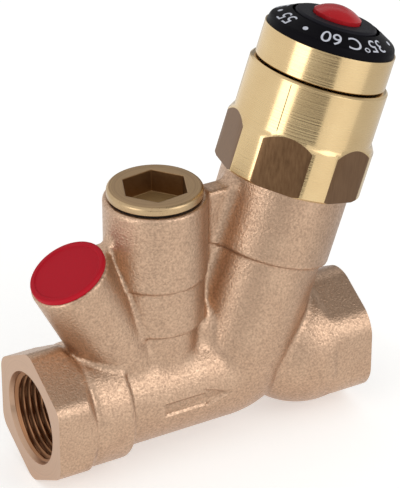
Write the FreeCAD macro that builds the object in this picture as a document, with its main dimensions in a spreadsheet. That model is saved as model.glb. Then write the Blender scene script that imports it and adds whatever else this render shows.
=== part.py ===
import FreeCAD, Part
import math
import os
import re

import Sketcher

Vector = FreeCAD.Vector

# Driving dimensions, in millimetres and degrees.
# Heights called reach are measured from the pipe's axis along the axis of their own branch.
DIMENSIONS = {
    # Pipe run, from the inlet mouth along X
    "run_length": 102.6,
    "hex_flats": 36.4,
    "hex_corner": 5.5,
    "outlet_corner": 9.0,
    "hex_length": 12.3,
    "hex_bevel": 1.6,
    "collar_dia": 36.6,
    "collar_end": 23.2,
    "collar_edge": 0.6,
    "collar_round": 1.3,
    "collar_fillet": 1.2,
    "tube_dia": 31.4,
    "bulb_start": 58.0,
    "bulb_radius": 34.0,
    "waist_place": 72.9,
    "waist_dia": 25.8,
    "outlet_dia": 38.0,
    "outlet_radius": 24.1,
    "outlet_peak": 89.0,
    "outlet_end": 93.0,
    # Pipe sockets and waterway
    "thread_dia": 26.44,
    "thread_depth": 16.3,
    "mouth_dia": 27.4,
    "passage_dia": 18.0,
    "passage_end": 69.0,
    "drill_slope": 0.5,
    "outlet_way_dia": 13.0,
    "outlet_way_place": 89.0,
    "outlet_way_tilt": 31.0,
    "outlet_way_reach": 21.0,
    # Slanted branch
    "branch_place": 64.3,
    "branch_tilt": 19.0,
    "neck_dia": 34.1,
    "neck_foot": 10.0,
    "neck_foot_dia": 12.0,
    "neck_round_reach": 12.0,
    "neck_round_radius": 26.0,
    "shoulder_reach": 37.3,
    "shoulder_round": 0.9,
    "shoulder_fillet": 0.8,
    "branch_dia": 37.6,
    "branch_reach": 58.9,
    "seat_reach": 12.0,
    "seat_dia": 14.0,
    "chamber_dia": 27.0,
    "insert_dia": 32.0,
    "insert_length": 13.0,
    "insert_room": 1.0,
    "seal_pocket_depth": 2.0,
    "seal_pocket_dia": 34.6,
    # Upright boss with the service plug
    "boss_place": 40.6,
    "boss_dia": 29.4,
    "boss_top": 60.1,
    "boss_edge": 0.8,
    "boss_ledge": 36.0,
    "boss_mid_dia": 27.6,
    "boss_low_ledge": 21.3,
    "boss_foot_dia": 23.8,
    "ledge_round": 1.4,
    "plug_thread_dia": 24.0,
    "plug_thread_length": 13.0,
    "drain_dia": 16.0,
    "plug_flange_dia": 27.2,
    "plug_flange_height": 2.5,
    "plug_edge": 0.6,
    "plug_gap": 0.6,
    "gasket_width": 0.7,
    "socket_flats": 17.0,
    "socket_depth": 6.7,
    "socket_turn": 37.0,
    # Slanted pocket boss with its cap
    "pocket_place": 35.0,
    "pocket_tilt": 27.0,
    "pocket_boss_dia": 23.7,
    "pocket_boss_foot_dia": 22.6,
    "pocket_boss_reach": 47.9,
    "pocket_boss_edge": 0.4,
    "pocket_dia": 14.0,
    "pocket_depth": 12.0,
    "probe_dia": 8.0,
    "probe_depth": 29.0,
    "cap_dia": 22.5,
    "cap_height": 1.5,
    "cap_edge": 0.5,
    "cap_dish": 0.35,
    "cap_rim": 1.3,
    "cap_stem_length": 9.0,
    "cap_wall": 1.4,
    # Webs between the bosses
    "web_width": 5.0,
    "pocket_web_drop": 9.1,
    "branch_web_drop": 1.8,
    # Flow arrow sunk into the tube's front
    "arrow_start": 35.0,
    "arrow_neck": 47.9,
    "arrow_tip": 55.9,
    "arrow_width": 4.0,
    "arrow_head_width": 6.7,
    "arrow_drop": 0.3,
    "arrow_depth": 0.4,
    # Bonnet
    "nut_dia": 43.2,
    "nut_flats": 40.7,
    "nut_turn": 46.0,
    "nut_height": 13.6,
    "nut_bevel": 2.5,
    "nut_foot_bevel": 0.6,
    "barrel_dia": 40.6,
    "barrel_height": 15.6,
    "barrel_edge": 0.6,
    "cavity_dia": 25.2,
    "roof_thickness": 6.6,
    "guide_dia": 18.0,
    "key_width": 4.0,
    "key_depth": 1.2,
    # Handwheel and dial
    "skirt_gap": 0.4,
    "skirt_dia": 38.2,
    "skirt_height": 9.9,
    "skirt_wall": 2.4,
    "skirt_web": 3.4,
    "skirt_edge": 0.4,
    "dial_dia": 37.4,
    "dial_shelf_dia": 36.4,
    "dial_rim": 2.2,
    "dial_rise": 3.0,
    "dial_edge": 0.8,
    "dial_inner_dia": 25.6,
    "dial_floor": 3.4,
    "dial_bore_dia": 19.6,
    "hub_dia": 23.8,
    "hub_rise": 0.7,
    "hub_edge": 0.6,
    "hub_bore_dia": 10.0,
    "hub_cap_dia": 13.8,
    "hub_cap_seat": 1.2,
    "hub_cap_rim": 1.0,
    "hub_cap_rise": 2.5,
    "hub_cap_wall": 1.2,
    # Spindle and its seals
    "spindle_dia": 10.0,
    "spindle_thread_dia": 12.0,
    "spindle_reach": 4.0,
    "spindle_flange_dia": 17.0,
    "spindle_flange": 2.5,
    "drive_flats": 7.0,
    "drive_relief": 0.3,
    "washer_thickness": 1.0,
    "seal_width": 1.7,
    "seal_first": 3.0,
    "seal_spacing": 4.6,
    "screw_dia": 4.0,
    "screw_length": 9.0,
    "screw_head_dia": 7.6,
    "screw_head": 2.4,
    "screw_key_flats": 3.0,
    "screw_key_depth": 1.5,
    # Setting sleeve, wax element and plunger
    "sleeve_headroom": 4.0,
    "sleeve_length": 31.0,
    "sleeve_hub": 8.0,
    "sleeve_bore_dia": 18.4,
    "sleeve_lip": 3.3,
    "sleeve_key_length": 14.0,
    "clip_thickness": 1.2,
    "clip_bore_dia": 13.0,
    "clip_grip": 0.8,
    "cup_thickness": 2.5,
    "cup_socket": 1.2,
    "overtravel_wire": 1.6,
    "overtravel_turns": 5.0,
    "pin_dia": 4.0,
    "pin_show": 4.0,
    "pin_plunge": 8.0,
    "element_neck_dia": 9.0,
    "element_neck": 7.0,
    "element_flange_dia": 24.6,
    "element_flange": 2.5,
    "element_dia": 12.8,
    "opening_gap": 5.6,
    "seat_washer_dia": 19.0,
    "seat_washer_thickness": 2.4,
    "plunger_dia": 19.6,
    "plunger_disc": 3.0,
    "plunger_hub_dia": 16.0,
    "plunger_hub": 6.0,
    "washer_screw_dia": 3.0,
    "washer_screw_length": 2.5,
    "washer_screw_head_dia": 7.0,
    "washer_screw_head": 1.5,
    "return_wire": 1.2,
    "return_dia": 22.6,
    "return_turns": 5.0,
    # Clearances
    "running_gap": 0.05,
    "thread_gap": 0.1,
    "sliding_gap": 0.25,
    "fitting_gap": 0.15,
    "slip_gap": 0.1,
    "seating_gap": 0.3,
}

# Heights along the slanted branch, worked out from the driving dimensions.
INSERT_FOOT = "(branch_reach - insert_length)"
NUT_TOP = "(branch_reach + nut_height)"
BARREL_FOOT = f"({NUT_TOP} + nut_bevel)"
BARREL_TOP = f"({BARREL_FOOT} + barrel_height)"
ROOF = f"({BARREL_TOP} - roof_thickness)"
SKIRT_FOOT = f"({BARREL_TOP} + skirt_gap)"
SKIRT_TOP = f"({SKIRT_FOOT} + skirt_height)"
WEB_FOOT = f"({SKIRT_TOP} - skirt_web)"
GUIDE_TOP = f"({WEB_FOOT} - slip_gap)"
DIAL_SHELF = f"({SKIRT_TOP} + dial_rim)"
DIAL_TOP = f"({DIAL_SHELF} + dial_rise)"
HUB_FOOT = f"({SKIRT_TOP} + dial_floor)"
HUB_TOP = f"({DIAL_TOP} + hub_rise)"
CAP_SEAT = f"({HUB_TOP} - hub_cap_seat)"
CAP_STEM_FOOT = f"({SKIRT_TOP} + screw_head + seating_gap)"
CAP_RIM = f"({HUB_TOP} + hub_cap_rim)"
FLANGE_TOP = f"({ROOF} - washer_thickness - 2 * slip_gap)"
FLANGE_FOOT = f"({FLANGE_TOP} - spindle_flange)"
SLEEVE_TOP = f"({FLANGE_FOOT} - sleeve_headroom)"
SLEEVE_FOOT = f"({SLEEVE_TOP} - sleeve_length)"
SLEEVE_ROOF = f"({SLEEVE_TOP} - sleeve_hub)"
CLIP_FOOT = f"({SLEEVE_FOOT} + sleeve_lip)"
CUP_FOOT = f"({CLIP_FOOT} + clip_thickness)"
CUP_TOP = f"({CUP_FOOT} + cup_thickness)"
ELEMENT_TOP = f"({CUP_FOOT} - pin_show)"
ELEMENT_FLANGE_TOP = f"({ELEMENT_TOP} - element_neck)"
ELEMENT_FLANGE_FOOT = f"({ELEMENT_FLANGE_TOP} - element_flange)"
WASHER_FOOT = "(seat_reach + opening_gap)"
PLUNGER_FOOT = f"({WASHER_FOOT} + seat_washer_thickness)"
PLUNGER_DISC_TOP = f"({PLUNGER_FOOT} + plunger_disc)"
PLUNGER_HUB_TOP = f"({PLUNGER_DISC_TOP} + plunger_hub)"

doc = FreeCAD.newDocument("CirculationValve")
sheet = doc.addObject("Spreadsheet::Sheet", "Dims")
for row, (alias, size) in enumerate(DIMENSIONS.items(), start=1):
    sheet.set(f"A{row}", alias)
    sheet.set(f"B{row}", str(size))
    sheet.setAlias(f"B{row}", alias)
doc.recompute()

sub_parts = []


def sized(text):
    """Turn words with an underscore, which are the sheet's aliases, into references to the sheet."""
    return re.sub(r"[a-z]+(?:_[a-z]+)+", lambda found: "Dims." + found.group(0), text)


def measure(text):
    return float(sheet.evalExpression(sized(text)))


def bind(target, path, text):
    target.setExpression(path, sized(text))


def half(text):
    return f"({text}) / 2"


def new_body(label, place=None, tilt=None, side=1):
    """A body whose Z axis stands on the pipe's axis at a place, leaning to the outlet (1) or the inlet (-1)."""
    body = doc.addObject("PartDesign::Body", label)
    body.Label = label
    if place:
        lean = FreeCAD.Rotation(Vector(0, side, 0), measure(tilt) if tilt else 0)
        body.Placement = FreeCAD.Placement(Vector(measure(place), 0, 0), lean)
        bind(body, "Placement.Base.x", place)
    if tilt:
        bind(body, "Placement.Rotation.Angle", tilt)
    sub_parts.append(body)
    return body


def branch_body(label):
    return new_body(label, "branch_place", "branch_tilt")


def new_sketch(body, name, plane, shift=None, turn=None):
    """A sketch on one of the body's own planes, shifted and turned by bound amounts."""
    sketch = body.newObject("Sketcher::SketchObject", name)
    support = [item for item in body.Origin.OriginFeatures if item.Role == plane]
    sketch.AttachmentSupport = (support[0], [""])
    sketch.MapMode = "FlatFace"
    if turn:
        axis, angle = turn
        spin = FreeCAD.Rotation(Vector(0, 0, axis), measure(angle))
        sketch.AttachmentOffset = FreeCAD.Placement(Vector(0, 0, 0), spin)
        bind(sketch, "AttachmentOffset.Rotation.Angle", angle)
    if shift:
        direction, amount = shift
        bind(sketch, f"AttachmentOffset.Base.{direction}", amount)
    return sketch


def arc_between(start, end, radius, turn):
    """The short arc from start to end, turning left (1) or right (-1)."""
    chord = end - start
    left = Vector(-chord.y, chord.x, 0).normalize()
    rise = math.sqrt(max(radius ** 2 - (chord.Length / 2) ** 2, 0))
    centre = (start + end) / 2 + left * rise * turn
    first, last = (start, end) if turn > 0 else (end, start)
    angles = [math.atan2(point.y - centre.y, point.x - centre.x) for point in (first, last)]
    return Part.ArcOfCircle(Part.Circle(centre, Vector(0, 0, 1), radius), *angles)


def fix_point(sketch, name, geometry, end, x, y):
    """Hold one end of a sketch line at bound coordinates."""
    for kind, text, axis in (("DistanceX", x, -2), ("DistanceY", y, -1)):
        if text == "0":
            sketch.addConstraint(Sketcher.Constraint("PointOnObject", geometry, end, axis))
            continue
        held = Sketcher.Constraint(kind, -1, 1, geometry, end, measure(text))
        index = sketch.addConstraint(held)
        label = f"{name}_{kind[-1]}"
        sketch.renameConstraint(index, label)
        bind(sketch, f"Constraints.{label}", text)


def outline(sketch, corners):
    """Draw a closed outline. A corner is (x, y), or (x, y, radius, turn) where an arc leads to the next."""
    points = [Vector(measure(corner[0]), measure(corner[1]), 0) for corner in corners]
    ends = []
    for place, corner in enumerate(corners):
        start = points[place]
        end = points[(place + 1) % len(points)]
        if len(corner) == 2:
            sketch.addGeometry(Part.LineSegment(start, end))
            ends.append((1, 2))
        else:
            sketch.addGeometry(arc_between(start, end, measure(corner[2]), corner[3]))
            ends.append((1, 2) if corner[3] > 0 else (2, 1))
    for place, corner in enumerate(corners):
        following = (place + 1) % len(corners)
        joined = (place, ends[place][1], following, ends[following][0])
        sketch.addConstraint(Sketcher.Constraint("Coincident", *joined))
        fix_point(sketch, f"p{place}", place, ends[place][0], corner[0], corner[1])
        if len(corner) > 2:
            index = sketch.addConstraint(Sketcher.Constraint("Radius", place, measure(corner[2])))
            sketch.renameConstraint(index, f"r{place}")
            bind(sketch, f"Constraints.r{place}", corner[2])


def circle(sketch, x, y, radius):
    centre = Vector(measure(x), measure(y), 0)
    drawn = sketch.addGeometry(Part.Circle(centre, Vector(0, 0, 1), measure(radius)))
    fix_point(sketch, "centre", drawn, 3, x, y)
    index = sketch.addConstraint(Sketcher.Constraint("Radius", drawn, measure(radius)))
    sketch.renameConstraint(index, "radius")
    bind(sketch, "Constraints.radius", radius)


def revolve(body, name, sketch, axis, cut):
    feature = body.newObject("PartDesign::Groove" if cut else "PartDesign::Revolution", name)
    feature.Profile = sketch
    feature.ReferenceAxis = (sketch, [axis])
    feature.Angle = 360
    return feature


def turned(body, name, corners, cut=False, axis="V_Axis", shift=None, turn=None):
    """Revolve an outline of (radius, height) corners, or of (x, radius) corners about H_Axis."""
    sketch = new_sketch(body, f"{name}_profile", "XZ_Plane", shift, turn)
    outline(sketch, corners)
    return revolve(body, name, sketch, axis, cut)


def ring(body, name, radius, height, thickness):
    """A round-section ring."""
    sketch = new_sketch(body, f"{name}_profile", "XZ_Plane")
    circle(sketch, radius, height, half(thickness))
    return revolve(body, name, sketch, "V_Axis", False)


def padded(body, name, plane, corners, length, cut=False, shift=None, turn=None, both_ways=False):
    """Extrude an outline along the plane's normal, or cut it out against the normal."""
    sketch = new_sketch(body, f"{name}_profile", plane, shift, turn)
    outline(sketch, corners)
    feature = body.newObject("PartDesign::Pocket" if cut else "PartDesign::Pad", name)
    feature.Profile = sketch
    bind(feature, "Length", length)
    if both_ways:
        feature.SideType = "Symmetric"
    return feature


def hexagon(flats, first_normal="0"):
    """Corners of a hexagon, with the angle of its first flat's normal."""
    reach = f"({flats}) / sqrt(3)"
    angles = [f"({first_normal} + {30 + 60 * side})" for side in range(6)]
    return [(f"{reach} * cos({angle})", f"{reach} * sin({angle})") for angle in angles]


def rounded_hexagon(flats, corner):
    """Corners of a hexagon that stands on a corner, with round corners."""
    run = f"(({flats}) / 2 - {corner}) / sqrt(3)"
    corners = []
    for side in range(6):
        normal = 60 * side
        for sign in "-+":
            x = f"({flats}) / 2 * cos({normal}) - (0 {sign} {run}) * sin({normal})"
            y = f"({flats}) / 2 * sin({normal}) + (0 {sign} {run}) * cos({normal})"
            corners.append((x, y) if sign == "-" else (x, y, corner, 1))
    return corners


def rectangle(left, right, low, high):
    return [(left, low), (right, low), (right, high), (left, high)]


def coil(body, name, radius, foot, top, wire, turns):
    """A round-wire helical spring between two heights."""
    sketch = new_sketch(body, f"{name}_wire", "XZ_Plane")
    circle(sketch, radius, f"{foot} + {wire} / 2 + slip_gap", half(wire))
    feature = body.newObject("PartDesign::AdditiveHelix", name)
    feature.Profile = sketch
    feature.ReferenceAxis = (sketch, ["V_Axis"])
    feature.Mode = "height-turns-angle"
    bind(feature, "Height", f"{top} - {foot} - {wire} - 2 * slip_gap")
    bind(feature, "Turns", turns)
    return feature


def pipe_run(body):
    """Tube, collar and outlet bulge as one turned outline, and the two wrench ends."""
    tube = half("tube_dia")
    collar = half("collar_dia")
    turned(body, "run", [
        ("hex_length", "0"),
        ("hex_length", f"{collar} - collar_edge"),
        ("hex_length + collar_edge", collar),
        ("collar_end", collar, "collar_round", -1),
        ("collar_end + collar_round", f"{collar} - collar_round"),
        ("collar_end + collar_round", f"{tube} + collar_fillet", "collar_fillet", 1),
        ("collar_end + collar_round + collar_fillet", tube),
        ("bulb_start", tube, "bulb_radius", -1),
        ("waist_place", half("waist_dia"), "outlet_radius", -1),
        ("outlet_peak", half("outlet_dia")),
        ("outlet_end", half("hex_flats")),
        ("outlet_end", "0"),
    ], axis="H_Axis")
    inlet_corners = rounded_hexagon("hex_flats", "hex_corner")
    outlet_corners = rounded_hexagon("hex_flats", "outlet_corner")
    outlet_start = "run_length - hex_length"
    padded(body, "inlet_hex", "YZ_Plane", inlet_corners, "hex_length")
    padded(body, "outlet_hex", "YZ_Plane", outlet_corners, "hex_length", shift=("z", outlet_start))
    bevel_top = "hex_flats / sqrt(3)"
    bevels = {
        "inlet_hex_bevel": ("hex_length", collar, "hex_length - hex_bevel"),
        "outlet_hex_bevel": (outlet_start, half("outlet_dia"), f"{outlet_start} + hex_bevel"),
    }
    for name, (foot, reach, end) in bevels.items():
        turned(body, name, [(foot, reach), (foot, bevel_top), (end, bevel_top)], cut=True, axis="H_Axis")


def branch_casting(body):
    """The slanted branch, with its shoulder and its rounded foot inside the tube."""
    neck = half("neck_dia")
    wall = half("branch_dia")
    turned(body, "branch", [
        ("0", "-neck_foot"),
        (half("neck_foot_dia"), "-neck_foot", "neck_round_radius", 1),
        (neck, "neck_round_reach"),
        (neck, "shoulder_reach - shoulder_fillet", "shoulder_fillet", -1),
        (f"{neck} + shoulder_fillet", "shoulder_reach"),
        (f"{wall} - shoulder_round", "shoulder_reach", "shoulder_round", 1),
        (wall, "shoulder_reach + shoulder_round"),
        (wall, "branch_reach"),
        ("0", "branch_reach"),
    ], shift=("x", "branch_place"), turn=(-1, "branch_tilt"))


def boss_castings(body):
    """The stepped upright boss and the slanted pocket boss."""
    top = half("boss_dia")
    middle = half("boss_mid_dia")
    foot = half("boss_foot_dia")
    turned(body, "plug_boss", [
        ("0", "0"),
        (foot, "0"),
        (foot, "boss_low_ledge", "ledge_round", 1),
        (middle, "boss_low_ledge + ledge_round"),
        (middle, "boss_ledge", "ledge_round", 1),
        (top, "boss_ledge + ledge_round"),
        (top, "boss_top - boss_edge", "boss_edge", 1),
        (f"{top} - boss_edge", "boss_top"),
        ("0", "boss_top"),
    ], shift=("x", "boss_place"))
    rim = half("pocket_boss_dia")
    turned(body, "pocket_boss", [
        ("0", "0"),
        (half("pocket_boss_foot_dia"), "0"),
        (rim, "pocket_boss_reach - pocket_boss_edge"),
        (f"{rim} - pocket_boss_edge", "pocket_boss_reach"),
        ("0", "pocket_boss_reach"),
    ], shift=("x", "pocket_place"), turn=(1, "pocket_tilt"))


def webs(body):
    """Cast webs in the valve's middle plane, from the upright boss to the pocket boss and to the branch."""
    web_top = "(boss_top - pocket_web_drop)"
    rim = "(pocket_boss_dia + cap_dia) / 4"
    crown = ("pocket_place - pocket_boss_reach * sin(pocket_tilt)", "pocket_boss_reach * cos(pocket_tilt)")
    padded(body, "pocket_web", "XZ_Plane", [
        ("pocket_place", "0"),
        ("boss_place", "0"),
        ("boss_place", web_top),
        ("boss_place - boss_mid_dia / 2", web_top),
        (f"{crown[0]} + {rim} * cos(pocket_tilt)", f"{crown[1]} + {rim} * sin(pocket_tilt)"),
        crown,
    ], "web_width", both_ways=True)
    top = "(boss_top - branch_web_drop)"
    wall = "(branch_dia + insert_dia) / 4 / cos(branch_tilt)"
    padded(body, "branch_web", "XZ_Plane", [
        ("boss_place", "0"),
        ("branch_place", "0"),
        (f"branch_place + {top} * tan(branch_tilt) - {wall}", top),
        ("boss_place", top),
    ], "web_width", both_ways=True)


def flow_arrow(body):
    """Arrow sunk into the tube's front, pointing to the outlet."""
    shaft = half("arrow_width")
    head = half("arrow_head_width")
    sag = f"(tube_dia / 2 - sqrt(tube_dia ^ 2 / 4 - ({head}) ^ 2))"
    padded(body, "flow_arrow", "XZ_Plane", [
        ("arrow_start", f"-arrow_drop - {shaft}"),
        ("arrow_neck", f"-arrow_drop - {shaft}"),
        ("arrow_neck", f"-arrow_drop - {head}"),
        ("arrow_tip", "-arrow_drop"),
        ("arrow_neck", f"-arrow_drop + {head}"),
        ("arrow_neck", f"-arrow_drop + {shaft}"),
        ("arrow_start", f"-arrow_drop + {shaft}"),
    ], f"{sag} + arrow_depth", cut=True, shift=("z", half("tube_dia")))


def waterways(body):
    """Pipe sockets, passages, seat, chamber and the bores of the three bosses."""
    thread = half("thread_dia")
    mouth = half("mouth_dia")
    passage = half("passage_dia")
    for name, face, inward in (("inlet_bore", "0", "+"), ("outlet_bore", "run_length", "-")):
        chamfer = f"{face} {inward} ({mouth} - {thread})"
        socket = f"{face} {inward} thread_depth"
        turned(body, name, [
            (face, "0"),
            (face, mouth),
            (chamfer, thread),
            (socket, thread),
            (f"{socket} {inward} {thread} * drill_slope", "0"),
        ], cut=True, axis="H_Axis")
    turned(body, "passage", [
        ("thread_depth", "0"),
        ("thread_depth", passage),
        ("passage_end", passage),
        (f"passage_end + {passage} * drill_slope", "0"),
    ], cut=True, axis="H_Axis")
    turned(body, "outlet_way", [
        ("0", "0"),
        (half("outlet_way_dia"), "0"),
        (half("outlet_way_dia"), "outlet_way_reach"),
        ("0", "outlet_way_reach"),
    ], cut=True, shift=("x", "outlet_way_place"), turn=(1, "outlet_way_tilt"))
    insert = "insert_dia / 2 + thread_gap"
    turned(body, "branch_bore", [
        ("0", "0"),
        (half("seat_dia"), "0"),
        (half("seat_dia"), "seat_reach"),
        (half("chamber_dia"), "seat_reach"),
        (half("chamber_dia"), f"{INSERT_FOOT} - insert_room"),
        (insert, f"{INSERT_FOOT} - insert_room"),
        (insert, "branch_reach - seal_pocket_depth"),
        (half("seal_pocket_dia"), "branch_reach - seal_pocket_depth"),
        (half("seal_pocket_dia"), "branch_reach"),
        ("0", "branch_reach"),
    ], cut=True, shift=("x", "branch_place"), turn=(-1, "branch_tilt"))
    plug = "plug_thread_dia / 2 + thread_gap"
    turned(body, "plug_bore", [
        ("0", "0"),
        (half("drain_dia"), "0"),
        (half("drain_dia"), "boss_top - plug_thread_length - plug_gap"),
        (plug, "boss_top - plug_thread_length - plug_gap"),
        (plug, "boss_top"),
        ("0", "boss_top"),
    ], cut=True, shift=("x", "boss_place"))
    turned(body, "pocket_bore", [
        ("0", "pocket_boss_reach - probe_depth"),
        (half("probe_dia"), "pocket_boss_reach - probe_depth"),
        (half("probe_dia"), "pocket_boss_reach - pocket_depth"),
        (half("pocket_dia"), "pocket_boss_reach - pocket_depth"),
        (half("pocket_dia"), "pocket_boss_reach"),
        ("0", "pocket_boss_reach"),
    ], cut=True, shift=("x", "pocket_place"), turn=(1, "pocket_tilt"))


def valve_body():
    body = new_body("valve_body")
    pipe_run(body)
    branch_casting(body)
    boss_castings(body)
    webs(body)
    flow_arrow(body)
    waterways(body)


def service_plug():
    """Threaded plug with a flange and a hexagon socket, and the flat gasket under its flange."""
    plug = new_body("service_plug", "boss_place")
    flange_foot = "(boss_top + plug_gap)"
    flange_top = f"({flange_foot} + plug_flange_height)"
    turned(plug, "plug_form", [
        ("0", f"{flange_foot} - plug_thread_length"),
        (half("plug_thread_dia"), f"{flange_foot} - plug_thread_length"),
        (half("plug_thread_dia"), flange_foot),
        (half("plug_flange_dia"), flange_foot),
        (half("plug_flange_dia"), f"{flange_top} - plug_edge"),
        ("plug_flange_dia / 2 - plug_edge", flange_top),
        ("0", flange_top),
    ])
    padded(plug, "plug_socket", "XY_Plane", hexagon("socket_flats", "socket_turn"), "socket_depth",
           cut=True, shift=("z", flange_top))
    gasket = new_body("plug_gasket", "boss_place")
    bore = "plug_thread_dia / 2 + fitting_gap"
    turned(gasket, "gasket_form", rectangle(bore, f"{bore} + gasket_width", "boss_top", flange_foot))


def pocket_cap():
    """Push-in cap with a dished face and a hollow stem."""
    cap = new_body("pocket_cap", "pocket_place", "pocket_tilt", side=-1)
    foot = "pocket_boss_reach"
    top = "(pocket_boss_reach + cap_height)"
    rim = half("cap_dia")
    stem = "(pocket_dia / 2 - fitting_gap)"
    turned(cap, "cap_form", [
        (f"{stem} - cap_wall", f"{foot} - cap_stem_length"),
        (stem, f"{foot} - cap_stem_length"),
        (stem, foot),
        (rim, foot),
        (rim, f"{top} - cap_edge", "cap_edge", 1),
        (f"{rim} - cap_edge", top),
        (f"{rim} - cap_rim", top),
        (f"{rim} - cap_rim - cap_dish", f"{top} - cap_dish"),
        ("0", f"{top} - cap_dish"),
        ("0", foot),
        (f"{stem} - cap_wall", foot),
    ])


def bonnet():
    """Turned upper part with six wrench flats, spindle bore and keyed cavity, and its seal to the body."""
    body = branch_body("bonnet")
    spigot = half("insert_dia")
    nut = half("nut_dia")
    barrel = half("barrel_dia")
    relief = "(insert_dia / 2 - seal_width / 2)"
    turned(body, "bonnet_form", [
        ("0", INSERT_FOOT),
        (spigot, INSERT_FOOT),
        (spigot, "branch_reach - seal_pocket_depth"),
        (relief, "branch_reach - seal_pocket_depth"),
        (relief, "branch_reach"),
        (f"{nut} - nut_foot_bevel", "branch_reach"),
        (nut, "branch_reach + nut_foot_bevel"),
        (nut, NUT_TOP),
        (barrel, BARREL_FOOT),
        (barrel, f"{BARREL_TOP} - barrel_edge"),
        (f"{barrel} - barrel_edge", BARREL_TOP),
        (half("guide_dia"), BARREL_TOP),
        (half("guide_dia"), GUIDE_TOP),
        ("0", GUIDE_TOP),
    ])
    flat = padded(body, "wrench_flat", "XY_Plane",
                  rectangle(half("nut_flats"), "nut_flats", "-nut_dia / 2", half("nut_dia")),
                  "nut_height + nut_bevel", cut=True, shift=("z", BARREL_FOOT), turn=(1, "nut_turn"))
    flats = body.newObject("PartDesign::PolarPattern", "wrench_flats")
    flats.Originals = [flat]
    flats.Axis = (flat.Profile[0], ["N_Axis"])
    flats.Angle = 360
    flats.Occurrences = 6
    body.Tip = flats
    journal = "spindle_dia / 2 + running_gap"
    turned(body, "cavity", [
        ("0", INSERT_FOOT),
        (half("cavity_dia"), INSERT_FOOT),
        (half("cavity_dia"), ROOF),
        (journal, ROOF),
        (journal, GUIDE_TOP),
        ("0", GUIDE_TOP),
    ], cut=True)
    slot = "(cavity_dia / 2 + key_depth)"
    side = "(key_width / 2 + sliding_gap)"
    padded(body, "keyways", "XY_Plane", rectangle(f"-{slot}", slot, f"-{side}", side),
           f"{ROOF} - {INSERT_FOOT}", cut=True, shift=("z", ROOF))
    seal = branch_body("bonnet_o_ring")
    section = f"(seal_pocket_dia / 2 - {relief} - 2 * slip_gap)"
    ring(seal, "bonnet_o_ring_form", f"(seal_pocket_dia / 2 + {relief}) / 2",
         "branch_reach - seal_pocket_depth / 2", section)


def spindle():
    """Spindle with flange, seal grooves and drive flats, its two seals and its thrust washer."""
    body = branch_body("spindle")
    journal = half("spindle_dia")
    groove = "(spindle_dia / 2 - seal_width)"
    low_seal = f"({ROOF} + seal_first)"
    high_seal = f"({low_seal} + seal_spacing)"
    turned(body, "spindle_form", [
        ("0", f"{SLEEVE_ROOF} - spindle_reach"),
        (half("spindle_thread_dia"), f"{SLEEVE_ROOF} - spindle_reach"),
        (half("spindle_thread_dia"), FLANGE_FOOT),
        (half("spindle_flange_dia"), FLANGE_FOOT),
        (half("spindle_flange_dia"), FLANGE_TOP),
        (journal, FLANGE_TOP),
        (journal, WEB_FOOT),
        ("0", WEB_FOOT),
    ])
    padded(body, "drive", "XY_Plane", hexagon("drive_flats"), "skirt_web - drive_relief",
           shift=("z", WEB_FOOT))
    screw = "(screw_dia / 2 + thread_gap)"
    drive_top = f"({SKIRT_TOP} - drive_relief)"
    tapped = f"({SKIRT_TOP} - screw_length - seating_gap)"
    turned(body, "tapped_hole", rectangle("0", screw, tapped, drive_top), cut=True)
    room = "(seal_width / 2 + slip_gap)"
    for name, middle in (("low_groove", low_seal), ("high_groove", high_seal)):
        turned(body, name, rectangle(groove, journal, f"{middle} - {room}", f"{middle} + {room}"), cut=True)
    section = "(seal_width - 2 * running_gap)"
    seals = []
    for name, middle in (("low_seal", low_seal), ("high_seal", high_seal)):
        seal = branch_body(name)
        sub_parts.remove(seal)
        ring(seal, f"{name}_form", f"{groove} + seal_width / 2", middle, section)
        seals.append(seal)
    pair = doc.addObject("Part::Compound", "spindle_o_rings")
    pair.Label = "spindle_o_rings"
    pair.Links = seals
    sub_parts.append(pair)
    washer = branch_body("thrust_washer")
    eye = "spindle_dia / 2 + fitting_gap"
    turned(washer, "thrust_washer_form", rectangle(
        eye, half("spindle_flange_dia"), f"{FLANGE_TOP} + slip_gap", f"{ROOF} - slip_gap"))


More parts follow.
